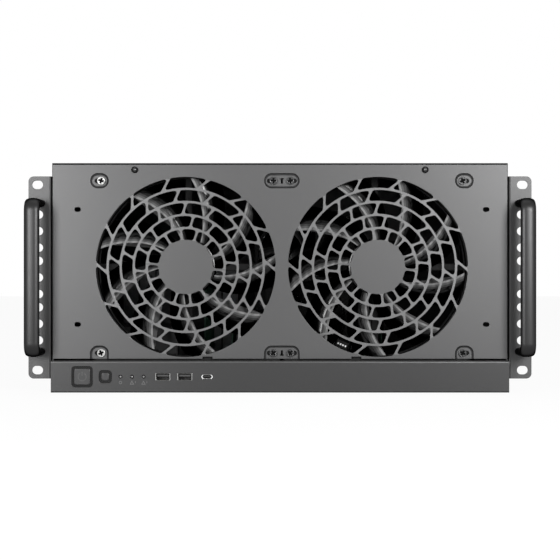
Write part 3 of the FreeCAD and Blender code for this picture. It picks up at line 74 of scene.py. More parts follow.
# %% [markdown]
# ## A finish as a sum
# A finish is a small tree of nodes. Writing the tree by hand hides the idea behind it, so one class
# stands for a socket and turns Python sums into Math nodes, and one method adds any other node. A
# finish then reads as the sentence it is: grain plus a little mottling, times so much.

# %% Signal and tree
class Signal:
    """An output socket of a tree, which can be added, subtracted and multiplied."""

    def __init__(self, owner, socket):
        self.owner = owner
        self.socket = socket

    def math(self, operation, first, second):
        return self.owner.node("Math", {"operation": operation}, {0: first, 1: second})

    def __add__(self, other):
        return self.math("ADD", self, other)

    def __radd__(self, other):
        return self.math("ADD", other, self)

    def __sub__(self, other):
        return self.math("SUBTRACT", self, other)

    def __rsub__(self, other):
        return self.math("SUBTRACT", other, self)

    def __mul__(self, other):
        return self.math("MULTIPLY", self, other)

    def __rmul__(self, other):
        return self.math("MULTIPLY", other, self)


class Tree:
    """A tree of shader nodes, to which nodes and signals are added."""

    def __init__(self, tree):
        self.tree = tree

    def feed(self, socket, value):
        if isinstance(value, Signal):
            self.tree.links.new(value.socket, socket)
        else:
            socket.default_value = value

    def node(self, kind, settings=None, sockets=None, out=0):
        made = self.tree.nodes.new("ShaderNode" + kind)
        for name, value in (settings or {}).items():
            setattr(made, name, value)
        for name, value in (sockets or {}).items():
            self.feed(made.inputs[name], value)
        return Signal(self, made.outputs[out])

    def seen(self):
        """One for a ray from the camera, in a reflection or through glass, and nought for others."""
        kinds = ("Camera", "Glossy", "Transmission")
        straight, mirrored, passed = (self.node("LightPath", out=f"Is {kind} Ray") for kind in kinds)
        rays = straight + mirrored + passed
        return rays.math("MINIMUM", rays, 1.0)


print("sums are made of", Signal.__name__, "objects in a", Tree.__name__)

# %% [markdown]
# A finish is such a tree with one shader in it, and a few methods for what most finishes need: a
# noise, a colour between two others, and a bump. A Mix node has sockets of the same name for each
# kind of value, so its colours go by number.

# %% Finish
COLOUR_A, COLOUR_B, COLOUR_OUT = 6, 7, 2


class Finish(Tree):
    """A material with one Principled shader."""

    def __init__(self, name, **sockets):
        self.material = bpy.data.materials.new(name)
        self.material.use_nodes = True
        super().__init__(self.material.node_tree)
        self.shader = self.tree.nodes["Principled BSDF"]
        self.set(**sockets)

    def set(self, **sockets):
        for name, value in sockets.items():
            title = name.replace("_", " ").title().replace("Ior", "IOR")
            self.feed(self.shader.inputs[title], value)

    def place(self):
        """Where a point of the object lies, in metres."""
        return self.node("TexCoord", out="Object")

    def noise(self, scale, detail=3.0, where=None):
        where = where or self.place()
        return self.node("TexNoise", None, {"Vector": where, "Scale": scale, "Detail": detail})

    def stretched(self, x, y, z):
        """The place with each axis scaled by itself, for a grain that runs one way."""
        return self.node("VectorMath", {"operation": "MULTIPLY"}, {0: self.place(), 1: (x, y, z)})

    def between(self, first, second, share):
        """A colour that goes from the first to the second as the share goes from 0 to 1."""
        sockets = {0: share, COLOUR_A: (*first, 1), COLOUR_B: (*second, 1)}
        return self.node("Mix", {"data_type": "RGBA"}, sockets, COLOUR_OUT)

    def bump(self, height, strength, distance):
        return self.node("Bump", None, {"Height": height, "Strength": strength, "Distance": distance})


print("finishes ready")

# %% [markdown]
# ## Coated steel
# The panels carry a fine satin coating. Its grain is a fraction of a millimetre, too small to see
# as dots at this distance, but it spreads the highlights. Handling leaves broad, faint patches, so
# the colour and the roughness drift a little over a hand's width. The bars of the grilles get a
# lighter coat than the panel, a painted highlight, and the ears a darker coat of their own. A
# near-black coat is painted shade on bent edges, in creases and in recesses, and it is also the
# black of the studs' collars. The cover and the handles are matt: they lose the pale sheen that
# other coats show at a flat angle.

# %% Coated steel
PATCH_SCALE = 6.0
COAT_GRAIN = 1500.0
NO_SHEEN = (0, 0, 0, 1)


def coated(name, shade, metallic, rough, shine=0.35):
    """A grey coat: its shade, how far it is a metal, its roughness and its shine."""
    finish = Finish(name, metallic=metallic, specular_ior_level=shine)
    drift = finish.noise(PATCH_SCALE, 2.0)
    grain = finish.noise(COAT_GRAIN, 2.0)
    dark = (0.9 * shade, 0.9 * shade, 0.91 * shade)
    light = (1.1 * shade, 1.1 * shade, 1.11 * shade)
    finish.set(base_color=finish.between(dark, light, drift * 0.6 + grain * 0.4))
    finish.set(roughness=rough + (drift - 0.5) * 0.05 + (grain - 0.5) * 0.1)
    finish.set(normal=finish.bump(grain, 0.12, 0.00025))
    return finish


PANEL_COAT = coated("panel_coat", 0.064, 0.5, 0.36)
# A lighter coat for the grilles' bars: a painted highlight.
BAR_HIGHLIGHT_COAT = coated("bar_painted_highlight_coat", 0.105, 0.5, 0.36)
EAR_COAT = coated("ear_coat", 0.05, 0.5, 0.36)
STRIP_COAT = coated("strip_coat", 0.04, 0.7, 0.34)
COVER_COAT = coated("cover_coat", 0.07, 0.5, 0.58, 0.15)
HANDLE_COAT = coated("handle_coat", 0.034, 1.0, 0.36)
for finish in (COVER_COAT, HANDLE_COAT):
    finish.set(specular_tint=NO_SHEEN)
# Near-black: painted shade on bent edges, in creases and in recesses, and the studs' black collars.
PAINTED_SHADE_AND_BLACK_COAT = coated("painted_shade_and_black_coat", 0.006, 0.0, 0.6, 0.0)
UNIT_COAT = coated("unit_coat", 0.015, 0.0, 0.5, 0.15)
# Dark steel: the studs' own domes, and painted shade on most screws of the front fans.
DARK_STEEL_AND_SHADE = coated("dark_steel_and_shade", 0.06, 0.9, 0.26)
print("coats made")

# %% [markdown]
# ## Plain metals
# Zinc-coated sheet shows soft crystals of slightly different grey. Screws are bright, with fine
# scratches. Extruded aluminium has lines along the way it was pressed. Tinned contacts are the
# lightest.

# %% Plain metals
PRESSED_WAY = (2400.0, 30.0, 2400.0)


def metal(name, dark, light, rough, scale, detail=3.0, way=None):
    """A bare metal: two colours, its least roughness and how far it rises, and its grain."""
    finish = Finish(name, metallic=1.0)
    grain = finish.noise(scale, detail, finish.stretched(*way) if way else None)
    finish.set(base_color=finish.between(dark, light, grain), roughness=rough[0] + grain * rough[1])
    return finish


ZINC = Finish("zinc_sheet", metallic=0.9)
crystal = ZINC.node("TexVoronoi", None, {"Vector": ZINC.place(), "Scale": 160.0}, "Color")
crystal_share = ZINC.node("SeparateColor", None, {0: crystal})
ZINC.set(base_color=ZINC.between((0.2, 0.205, 0.21), (0.27, 0.275, 0.28), crystal_share))
ZINC.set(roughness=0.34 + crystal_share * 0.14)
ZINC.set(normal=ZINC.bump(ZINC.noise(900.0), 0.06, 0.0002))
BRIGHT = metal("bright_steel", (0.24, 0.24, 0.24), (0.34, 0.34, 0.33), (0.24, 0.16), 700.0, 4.0)
ALUMINIUM = metal(
    "pressed_aluminium", (0.2, 0.2, 0.21), (0.27, 0.27, 0.28), (0.45, 0.15), 1.0, 2.0, PRESSED_WAY
)
TIN = metal("tinned_contact", (0.8, 0.8, 0.8), (0.9, 0.9, 0.9), (0.3, 0.1), 1500.0)
GOLD = metal("gold_contact", (0.7, 0.55, 0.28), (0.85, 0.72, 0.45), (0.22, 0.1), 1200.0)
print("metals made")

# %% [markdown]
# ## Plastics, lenses and boards
# The fans are moulded in black with a faint grain. The strips behind a blade's leading edge are a
# painted highlight that goes from pale to dark; they are matt, so that they stay soft where the
# lamps would flash. A circuit board shows a green mask with darker and lighter runs where the
# copper lies under it.

# %% Plastics, lenses and boards
MOULD_GRAIN = 1100.0
MOULD_DRIFT = 25.0
LIP_HIGHLIGHT_SHADES = (0.15, 0.06, 0.025)


def moulded(name, dark, light, rough, shine=0.5):
    """A plastic between two greys, with its roughness and its shine."""
    finish = Finish(name, specular_ior_level=shine)
    grain = finish.noise(MOULD_GRAIN, 2.0)
    drift = finish.noise(MOULD_DRIFT, 2.0)
    finish.set(base_color=finish.between((dark,) * 3, (light,) * 3, drift))
    finish.set(roughness=rough + (grain - 0.5) * 0.12, normal=finish.bump(grain, 0.08, 0.0002))
    return finish


FAN_BLACK = moulded("fan_black", 0.018, 0.022, 0.2)
FAN_BLACK.set(metallic=1.0, specular_tint=NO_SHEEN)
# The pale strips behind each blade's leading edge: a painted highlight, palest first.
LIP_HIGHLIGHTS = []
for step, shade in enumerate(LIP_HIGHLIGHT_SHADES):
    LIP_HIGHLIGHTS.append(moulded(f"blade_lip_highlight_{step}", shade, 1.2 * shade, 0.5, 0.1))
FRAME_BLACK = moulded("frame_black", 0.006, 0.009, 0.6, 0.1)
SOCKET_BLACK = moulded("socket_black", 0.008, 0.013, 0.5)
# Near-black for the buttons' rims and plungers: the painted shade of the groove round each cap.
GROOVE_SHADE = moulded("groove_painted_shade", 0.012, 0.015, 0.6, 0.1)
MARK_GREY = moulded("mark_grey", 0.03, 0.036, 0.5)
MARK_PALE = moulded("mark_pale", 0.065, 0.08, 0.6)
LENS = moulded("lamp_lens", 0.1, 0.14, 0.25)

BOARD = Finish("board_mask")
brick = {"Vector": BOARD.place(), "Scale": 90.0, "Mortar Size": 0.035}
runs = BOARD.node("TexBrick", {"offset": 0.37}, brick, "Fac")
speck = BOARD.noise(300.0)
copper_share = runs * 0.6 + speck * 0.4
BOARD.set(base_color=BOARD.between((0.012, 0.05, 0.028), (0.03, 0.1, 0.055), copper_share))
BOARD.set(roughness=0.36 + speck * 0.12, normal=BOARD.bump(runs, 0.2, 0.0001))
print("plastics and boards made")

# %% [markdown]
# ## Outlines
# Most forms start as an outline, a list of points on the front, with x to the right and z up. Most
# outlines are made of arcs: a circle is a full arc, a box has four small ones for corners, and a
# slot is a box with corners as large as they can be.

# %% Outlines
def arc(centre, radius, start, end, steps):
    """Points on an arc between two angles in degrees, both ends included."""
    angles = [math.radians(start + (end - start) * step / steps) for step in range(steps + 1)]
    return [(centre[0] + radius * math.cos(a), centre[1] + radius * math.sin(a)) for a in angles]


def circle(centre, radius, steps):
    return arc(centre, radius, 0, 360, steps)[:-1]


def rounded_box(left, right, bottom, top, radius, steps=6):
    corners = [(right, top, 0), (left, top, 90), (left, bottom, 180), (right, bottom, 270)]
    points = []
    for x, z, start in corners:
        middle = (x - radius if x == right else x + radius, z - radius if z == top else z + radius)
        points += arc(middle, radius, start, start + 90, steps)
    return points


def box_about(x, z, wide, high, radius, steps=6):
    """A rounded box about a centre, from half its width and half its height."""
    return rounded_box(x - wide, x + wide, z - high, z + high, radius, steps)


def oval(x, z, length, width):
    """A slot with round ends, a hair short of full rounds so that no two points meet."""
    return box_about(x, z, length / 2, width / 2, width / 2 - 1e-3, 12)


def across_front(u, v, w):
    """Drawn on the front: u to the right, v up, w towards the rear."""
    return (u, w, v)


def at_depth(outline, y):
    """An outline on the front, set at a depth."""
    return [(x, y, z) for x, z in outline]


print(len(oval(0, 0, 2.0, 1.0)), "points in a slot")

# %% [markdown]
# ## Stock
# A fabricator starts from a few kinds of stock: sheet with holes punched in it, turned rods, and
# bars. The class below collects such forms into one mesh. Sheet comes from a filled flat curve,
# because a curve fills round any number of holes and rounds their edges, where a boolean for each
# hole would be slow.

# %% Stock
FLAT = 0.999
SMALLEST_ROUND = 0.02


class Stock:
    """The points and faces of one piece, with a mark for the finish of each face."""

    def __init__(self):
        self.points = []
        self.faces = []
        self.marks = []
        self.curved = []

    def add(self, points, faces, mark=0, curved=True):
        start = len(self.points)
        self.points += points
        self.faces += [[start + corner for corner in face] for face in faces]
        self.marks += mark if isinstance(mark, list) else [mark] * len(faces)
        self.curved += curved if isinstance(curved, list) else [curved] * len(faces)

    def sheet(self, rim, holes, low, high, plane=across_front, edge=0.15, mark=0):
        """Sheet between two depths, with holes, its edges rounded a little."""
        curve = bpy.data.curves.new("sheet", "CURVE")
        curve.dimensions = "2D"
        curve.fill_mode = "BOTH"
        curve.extrude = (high - low) / 2 - edge
        curve.bevel_depth = edge
        curve.bevel_resolution = 1
        curve.offset = -edge
        for loop in [rim, *holes]:
            spline = curve.splines.new("POLY")
            spline.points.add(len(loop) - 1)
            for point, (u, v) in zip(spline.points, loop):
                point.co = (u, v, 0, 1)
            spline.use_cyclic_u = True
        holder = bpy.data.objects.new("sheet", curve)
        mesh = bpy.data.meshes.new_from_object(holder)
        middle = (low + high) / 2
        points = [plane(point.co.x, point.co.y, point.co.z + middle) for point in mesh.vertices]
        curved = [abs(face.normal.z) < FLAT for face in mesh.polygons]
        self.add(points, [list(face.vertices) for face in mesh.polygons], mark, curved)
        bpy.data.objects.remove(holder)
        bpy.data.curves.remove(curve)
        bpy.data.meshes.remove(mesh)

    def loft(self, rings, mark=0, round_ring=True, ends=(True, True), round_way=False):
        """Faces between outlines that have as many points each."""
        count = len(rings[0])
        points = [tuple(point) for ring in rings for point in ring]
        faces = []
        steps = len(rings) if round_way else len(rings) - 1
        sides = count if round_ring else count - 1
        for step in range(steps):
            here = step * count
            there = (step + 1) % len(rings) * count
            for side in range(sides):
                after = (side + 1) % count
                faces.append([here + side, here + after, there + after, there + side])
        step_marks = mark if isinstance(mark, list) else [mark] * steps
        marks = [kind for kind in step_marks for _ in range(sides)]
        curved = [True] * len(faces)
        last = (len(rings) - 1) * count
        caps = (range(count)[::-1], range(last, last + count))
        for wanted, cap, kind in zip(ends, caps, (step_marks[0], step_marks[-1])):
            if wanted:
                faces.append(list(cap))
                marks.append(kind)
                curved.append(False)
        self.add(points, faces, marks, curved)

    def turned(self, profile, centre, steps, mark=0):
        """A profile of radius and depth, turned about a line from front to rear."""
        x, y, z = centre
        self.loft([at_depth(circle((x, z), radius, steps), y + deep) for radius, deep in profile], mark)

    def folded(self, outline, reach, mark=0):
        """An outline of depth and height, drawn out from side to side."""
        self.loft([[(x, y, z) for y, z in outline] for x in (-reach, reach)], mark)

    def upright(self, outline, sign, ends, mark=0):
        """An outline of side and depth on the left or the right, drawn out from foot to top."""
        self.loft([[(sign * x, y, z) for x, y in outline] for z in ends], mark)

    def bar(self, low, high, edge=0.3, mark=0):
        """A box with rounded edges, drawn as an outline that grows and shrinks again."""
        def outline(inset):
            corners = (low[0] + inset, high[0] - inset, low[2] + inset, high[2] - inset)
            return rounded_box(*corners, max(edge - inset, SMALLEST_ROUND), 3)

        depths = [(edge, low[1]), (0.3 * edge, low[1] + 0.3 * edge), (0, low[1] + edge)]
        depths += [(0, high[1] - edge), (0.3 * edge, high[1] - 0.3 * edge), (edge, high[1])]
        self.loft([at_depth(outline(inset), y) for inset, y in depths], mark)

    def piece(self, name, body, slot, *finishes, bend=35):
        """The collected forms as one object in metres, riding on a body."""
        mesh = bpy.data.meshes.new(name)
        mesh.from_pydata([[value * MM for value in point] for point in self.points], [], self.faces)
        mesh.polygons.foreach_set("material_index", self.marks)
        mesh.polygons.foreach_set("use_smooth", self.curved)
        work = bmesh.new()
        work.from_mesh(mesh)
        bmesh.ops.remove_doubles(work, verts=work.verts, dist=1e-6)
        bmesh.ops.recalc_face_normals(work, faces=work.faces)
        work.to_mesh(mesh)
        work.free()
        curved = [face.use_smooth for face in mesh.polygons]
        mesh.set_sharp_from_angle(angle=math.radians(bend))
        mesh.polygons.foreach_set("use_smooth", curved)
        for finish in finishes:
            mesh.materials.append(finish.material)
        made = bpy.data.objects.new(name, mesh)
        bpy.context.scene.collection.objects.link(made)
        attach(made, body)
        return made


print("stock ready")

# %% [markdown]
# ## Front panel
# The panel is one pressed sheet. Each grille is punched as rings of openings; the bars between them
# lean further clockwise from ring to ring, which gives the pattern its swirl. Every corner of a
# punched opening is rounded, since a sharp tool corner would crack, so the outline is trimmed at
# each corner and joined by a small curve. A narrow corner is trimmed further back than a wide one,
# which gives both about the same round.

# %% Grille openings
RINGS = 5
BARS = 14
BAR_WIDTH = 2.2
HUB_RADIUS = 26.0
GRILLE_RADIUS = 86.1
RING_PITCH = (GRILLE_RADIUS - HUB_RADIUS + BAR_WIDTH) / RINGS
RING_TURNS = (-5.1, -20.6, -11.6, -5.7, -25.0)
FIRST_LEAN = 1.0
LEAN_STEP = 10.2
CORNER_RADIUS = 2.8
MOST_TRIM = 4.8
TRIM_ROOM, MOST_ROOM = 1.1, 0.4
ARC_STEPS = 10


def on_bar(ring, step, side, radius):
    """Angle at which one edge of a bar meets a circle, in radians."""
    inner = HUB_RADIUS + ring * RING_PITCH
    middle = inner + (RING_PITCH - BAR_WIDTH) / 2
    lean = math.radians(FIRST_LEAN + ring * LEAN_STEP)
    along = Vector((math.cos(lean), -math.sin(lean)))
    start = Vector((middle, 0)) + Vector((-along.y, along.x)) * side * BAR_WIDTH / 2
    reach = start.dot(along)
    travel = -reach + math.sqrt(reach**2 - start.length_squared + radius**2)
    point = start + along * travel
    turn = math.radians(RING_TURNS[ring]) + 2 * math.pi * step / BARS
    return math.atan2(point.y, point.x) + turn


def softened(edges):
    """A closed outline from edges given as point lists, each corner replaced by a short curve."""
    outline = []
    for edge, after in zip(edges, edges[1:] + edges[:1]):
        outline += edge[1:-1]
        corner = Vector(edge[-1])
        back = (Vector(edge[-2]) - corner).normalized()
        on = (Vector(after[1]) - corner).normalized()
        trim = min(CORNER_RADIUS / math.tan(back.angle(on) / 2), MOST_TRIM)
        first = corner + back * trim
        last = corner + on * trim
        for share in (0, 0.25, 0.5, 0.75, 1):
            blend = first * (1 - share) ** 2 + corner * 2 * share * (1 - share) + last * share**2
            outline.append(tuple(blend))
    return outline


def spread(centre, radius, start, end):
    """Points along an arc, more than the corner's trim away from its ends."""
    clear = min(TRIM_ROOM * MOST_TRIM / (radius * abs(end - start)), MOST_ROOM)
    shares = [clear + (1 - 2 * clear) * step / ARC_STEPS for step in range(ARC_STEPS + 1)]
    angles = [start + (end - start) * share for share in (0, *shares, 1)]
    return [(centre[0] + radius * math.cos(a), centre[1] + radius * math.sin(a)) for a in angles]


def straight(first, last):
    """A straight edge with a point in its middle."""
    return [first, tuple((Vector(first) + Vector(last)) / 2), last]


def grille(centre):
    openings = []
    for ring in range(RINGS):
        inner = HUB_RADIUS + ring * RING_PITCH
        outer = inner + RING_PITCH - BAR_WIDTH
        for step in range(BARS):
            low = [on_bar(ring, step, 1, radius) for radius in (inner, outer)]
            high = [on_bar(ring, step + 1, -1, radius) for radius in (inner, outer)]
            far = spread(centre, outer, low[1], high[1])
            near = spread(centre, inner, high[0], low[0])
            rise = straight(near[-1], far[0])
            fall = straight(far[-1], near[0])
            openings.append(softened([rise, far, fall, near]))
    return openings


print(RINGS * BARS, "openings in a grille")

# %% [markdown]
# The screws of the fans sit in pressed dimples, so that their heads stay below the front of the
# sheet. The upper dimples are ovals, and the lower ones run off the edge of the sheet, so each of
# those is an arch, open below. First come the sizes and the outlines of all that is punched or
# pressed beside the grilles.

# %% Dimples, slots and notches
FAN_X = 90.6
FAN_Z = 119.6
FRONT_SHIFT = 1.8
PANEL_FRONT = -225.0
PANEL_BACK = -223.8
PANEL_GAUGE = 1.2
PANEL_SIDE = 218.0
PANEL_LOW = 31.7
PANEL_TOP = 219.0
BEND = 1.6
EDGE_ROUND = 0.5
BRIM = 14.0
NOTCH_X, NOTCH_WIDTH, NOTCH_HEIGHT = 71.2, 9.5, 2.0
HOOK_X, HOOK_Z, HOOK_SIZE = 195.5, 55.0, (6.2, 4.3)
KEYHOLE = [(1.0, -2.6), (1.0, 1.4), (1.9, 1.4), (1.9, 2.6)]
DISH_WIDTH = 14.3
SCREW_ROW = 82.5
SCREW_HOLE = 2.2
SLOT_OFFSET = 2.0
DISH_OVERHANG = 8.8
DISH_SHIFT = 1.5
middle_reach = FAN_X - SCREW_ROW + DISH_OVERHANG
corner_x = FAN_X + SCREW_ROW + DISH_SHIFT
DISH_SPANS = ((-corner_x, DISH_OVERHANG), (0, middle_reach), (corner_x, DISH_OVERHANG))
DISHES = [(FRONT_SHIFT + x - reach, FRONT_SHIFT + x + reach) for x, reach in DISH_SPANS]
DISH_FRONT = ((0.0, -0.01), (0.2, 0.15), (0.5, 0.45), (1.4, 2.0), (1.75, 2.4), (2.1, 2.5))
DISH_BACK = ((2.1, 3.65), (0.8, 3.4), (0.2, 2.7), (-0.5, 1.15))
PAINTED_SHADE_STEPS = 2
PAINTED_SHADE_AND_BLACK_MARK, BAR_HIGHLIGHT_MARK = 1, 2
FANS = (("left", FRONT_SHIFT - FAN_X), ("right", FRONT_SHIFT + FAN_X))
SIDES = (-1, 1)
SCREWS = [(x + side * SCREW_ROW, sign) for (_, x), sign in zip(FANS, SIDES) for side in SIDES]


def arch(low, high, inset):
    """The outline of a lower dimple from its left foot over the top to its right foot."""
    radius = DISH_WIDTH / 2 - inset
    top = FAN_Z - SCREW_ROW
    left = arc((low + DISH_WIDTH / 2, top), radius, 180, 90, 10)
    right = arc((high - DISH_WIDTH / 2, top), radius, 90, 0, 10)
    return [(low + inset, PANEL_LOW), *left, *right, (high - inset, PANEL_LOW)]


def dish_oval(low, high, inset):
    z = FAN_Z + SCREW_ROW
    return oval((low + high) / 2, z, high - low - 2 * inset, DISH_WIDTH - 2 * inset)


def screw_slots(low, high, z):
    """Slots round a dimple's screws; a middle dimple also has a keyhole shaped like a T."""
    size = (4 * SCREW_HOLE, 2 * SCREW_HOLE)
    holes = [oval(x + sign * SLOT_OFFSET, z, *size) for x, sign in SCREWS if low < x < high]
    if low < 0 < high:
        way = 1 if z > FAN_Z else -1
        outline = KEYHOLE + [(-u, v) for u, v in KEYHOLE[::-1]]
        holes.append([(FRONT_SHIFT + u, z + way * v) for u, v in outline])
    return holes


def notch(x):
    left, right = x - NOTCH_WIDTH / 2, x + NOTCH_WIDTH / 2
    high = PANEL_LOW + NOTCH_HEIGHT
    return [(left, PANEL_LOW), (left, high), (right, high), (right, PANEL_LOW)]


print(2 * len(DISHES), "dimples for", 2 * len(SCREWS), "screws")

# %% [markdown]
# One curve makes the whole sheet: its rim, with the arches and notches along the lower edge, and
# every hole in it. Faces between the hub and the rim of a grille belong to its bars and get the
# lighter coat, a painted highlight.

# %% Panel sheet
GRILLE_X = 92.0
panel = Stock()
flat_side = PANEL_SIDE - EDGE_ROUND
rim = [(-flat_side, PANEL_TOP - BEND), (-flat_side, PANEL_LOW)]
notches = [notch(FRONT_SHIFT - NOTCH_X), notch(FRONT_SHIFT + NOTCH_X)]
for run in sorted([arch(low, high, 0) for low, high in DISHES] + notches):
    rim += run
rim += [(flat_side, PANEL_LOW), (flat_side, PANEL_TOP - BEND)]
holes = grille((FRONT_SHIFT - GRILLE_X, FAN_Z)) + grille((FRONT_SHIFT + GRILLE_X, FAN_Z))
holes += [dish_oval(low, high, 0) for low, high in DISHES]
for x in (-HOOK_X, HOOK_X):
    holes += [oval(FRONT_SHIFT + x, FAN_Z + z, *HOOK_SIZE) for z in (-HOOK_Z, HOOK_Z)]
panel.sheet(rim, holes, PANEL_FRONT, PANEL_BACK, edge=0.2)
# Faces of the bars get the lighter coat: a painted highlight.
for index, face in enumerate(panel.faces):
    middle = sum((Vector(panel.points[corner]) for corner in face), Vector()) / len(face)
    across = abs(middle.x - FRONT_SHIFT) - GRILLE_X
    if HUB_RADIUS < math.hypot(across, middle.z - FAN_Z) < GRILLE_RADIUS:
        panel.marks[index] = BAR_HIGHLIGHT_MARK
print(len(holes), "holes in the sheet")

# %% [markdown]
# A dimple is a dish with a sloping wall: outlines that shrink as they go deeper, then grow again
# behind the sheet, which gives the wall its thickness. A flat floor with slots closes it. The outer
# rim of each wall gets the near-black coat as painted shade. The upper edge of the panel is bent
# back as a brim, and all edges are rounded; the top bend and the side edges get the near-black
# coat too, as painted shade.

# %% Dimples and edges
section = DISH_FRONT + DISH_BACK
# The first steps of each wall, at its rim, get the near-black coat: painted shade.
painted_shade_marks = [PAINTED_SHADE_AND_BLACK_MARK] * PAINTED_SHADE_STEPS + [0] * (len(section) - PAINTED_SHADE_STEPS)
walls = ((dish_oval, FAN_Z + SCREW_ROW, True), (arch, FAN_Z - SCREW_ROW, False))
for low, high in DISHES:
    for shape, z, closed in walls:
        rings = [at_depth(shape(low, high, inset), PANEL_FRONT + deep) for inset, deep in section]
        panel.loft(rings, painted_shade_marks, closed, (False, False), True)
        if not closed:
            for foot in (0, -1):
                panel.add([ring[foot] for ring in rings], [list(range(len(rings)))])
        inset, deep = DISH_FRONT[-1]
        floor = (PANEL_FRONT + deep, PANEL_FRONT + deep + PANEL_GAUGE)
        panel.sheet(shape(low, high, inset), screw_slots(low, high, z), *floor, edge=0.05)
bend_start = PANEL_TOP - BEND
top_round = [(PANEL_FRONT + BEND - y, bend_start + z) for y, z in arc((0, 0), BEND, 0, 90, 6)]
top_round += [(PANEL_BACK + 0.4, PANEL_TOP - PANEL_GAUGE), (PANEL_BACK, bend_start)]
# The top bend gets the near-black coat: painted shade.
panel.folded(top_round, PANEL_SIDE, PAINTED_SHADE_AND_BLACK_MARK)
brim_start = (-PANEL_SIDE, PANEL_FRONT + BEND, PANEL_TOP - PANEL_GAUGE)
panel.bar(brim_start, (PANEL_SIDE, PANEL_FRONT + BRIM, PANEL_TOP), 0.1)
corner = arc((flat_side, PANEL_FRONT + EDGE_ROUND), EDGE_ROUND, 270, 360, 6)
corner += [(PANEL_SIDE, PANEL_BACK), (flat_side, PANEL_BACK)]
# The side edges get the near-black coat: painted shade.
for sign in SIDES:
    panel.upright(corner, sign, (PANEL_LOW, bend_start), PAINTED_SHADE_AND_BLACK_MARK)
coats = (PANEL_COAT, PAINTED_SHADE_AND_BLACK_COAT, BAR_HIGHLIGHT_COAT)
front_panel = panel.piece("pressed_front_panel", "chassis", "panel_paint", *coats)
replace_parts(front_panel, "front_panel")
print(len(front_panel.data.polygons), "faces in the front panel")

# %% [markdown]
# ## Ears and handles
# An ear is a bent strip: a face with the rack's slots, a small bend and a leg along the side wall.
# The slots stand at the heights of a rack's holes, counted from the middle of the unit.

# %% Ears
EAR_BACK = -219.0
EAR_EDGE = 241.3
EAR_LOW, EAR_HIGH = 12.5, 206.5
EAR_LEG = -161.0
EAR_BEND = 3.0
EAR_CORNER = 5.0
EAR_GAUGE = EAR_BACK - EAR_FACE
RACK_SLOT = (10.4, 8.1)
RACK_X = 232.55
MID_Z = 109.5
SLOT_STEPS = (0, 15.875, 28.575, 44.45, 60.325, 88.9)
SLOT_ROWS = sorted({MID_Z + side * step for step in SLOT_STEPS for side in SIDES})
EAR_SCREW_Y = -195.0
EAR_SCREW_Z = (40.5, 109.5, 178.5)


def ear(sign):
    stock = Stock()

    def face_plane(u, v, w):
        return (sign * u, w, v)

    def leg_plane(u, v, w):
        return (sign * w, u, v)

    inner = PANEL_SIDE + EAR_BEND
    outline = [(inner, EAR_LOW)]
    outline += arc((EAR_EDGE - EAR_CORNER, EAR_LOW + EAR_CORNER), EAR_CORNER, 270, 360, 8)
    outline += arc((EAR_EDGE - EAR_CORNER, EAR_HIGH - EAR_CORNER), EAR_CORNER, 0, 90, 8)
    outline += [(inner, EAR_HIGH)]
    slots = [oval(RACK_X, z, *RACK_SLOT) for z in SLOT_ROWS]
    stock.sheet(outline, slots, EAR_FACE, EAR_BACK, face_plane, 0.25)
    bend_end = EAR_FACE + EAR_BEND
    # The inner part of the bend gets the near-black coat: painted shade.
    for start, end, mark in ((270, 240, 0), (240, 180, PAINTED_SHADE_AND_BLACK_MARK)):
        section = arc((inner, bend_end), EAR_BEND, start, end, 5)
        section += arc((inner, bend_end), EAR_BEND - EAR_GAUGE, end, start, 5)
        stock.upright(section, sign, (EAR_LOW, EAR_HIGH), mark)
    leg = rounded_box(bend_end, EAR_LEG, EAR_LOW, EAR_HIGH, 0.3, 2)
    holes = [circle((EAR_SCREW_Y, z), SCREW_HOLE, 16) for z in EAR_SCREW_Z]
    stock.sheet(leg, holes, PANEL_SIDE, PANEL_SIDE + EAR_GAUGE, leg_plane, 0.2)
    return stock


print(len(SLOT_ROWS), "slots in an ear")

# %% [markdown]
# A handle is a flat oval bar. Sweeping one outline along a path with two rounded corners keeps its
# section even through the bends, where bending a finished bar with a modifier would pinch it.

# %% Handles
HANDLE_FRONT = -263.0
HANDLE_WIDTH = 14.6
HANDLE_DEPTH = 8.0
HANDLE_PITCH = 142.0
CROWN = 0.85
INNER_BEND = 5.0
HANDLE_BEND = INNER_BEND + HANDLE_DEPTH / 2


def handle(x):
    stock = Stock()
    grip = HANDLE_FRONT + HANDLE_DEPTH / 2
    path = [((EAR_FACE, MID_Z - HANDLE_PITCH / 2), (0, -1))]
    for sign in SIDES:
        centre = (grip + HANDLE_BEND, MID_Z + sign * (HANDLE_PITCH / 2 - HANDLE_BEND))
        span = (270, 180) if sign < 0 else (180, 90)
        for y, z in arc(centre, HANDLE_BEND, *span, 10):
            path.append(((y, z), ((y - centre[0]) / HANDLE_BEND, (z - centre[1]) / HANDLE_BEND)))
    path.append(((EAR_FACE, MID_Z + HANDLE_PITCH / 2), (0, 1)))
    section = []
    for u, v in circle((0, 0), 1.0, 48):
        across = math.copysign(abs(u) ** CROWN, u) * HANDLE_WIDTH / 2
        section.append((across, math.copysign(abs(v) ** CROWN, v) * HANDLE_DEPTH / 2))
    rings = [
        [(x + across, y + out_y * lift, z + out_z * lift) for across, lift in section]
        for (y, z), (out_y, out_z) in path
    ]
    stock.loft(rings)
    return stock


for side, sign in zip(("left", "right"), SIDES):
    ear_piece = ear(sign).piece(f"{side}_bent_ear", "chassis", "panel_paint", EAR_COAT, PAINTED_SHADE_AND_BLACK_COAT)
    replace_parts(ear_piece, f"{side}_ear")
    bar = handle(sign * RACK_X)
    handle_piece = bar.piece(f"{side}_bar_handle", "chassis", "handle_black", HANDLE_COAT, bend=50)
    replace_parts(handle_piece, f"{side}_handle")
print("ears and handles made")

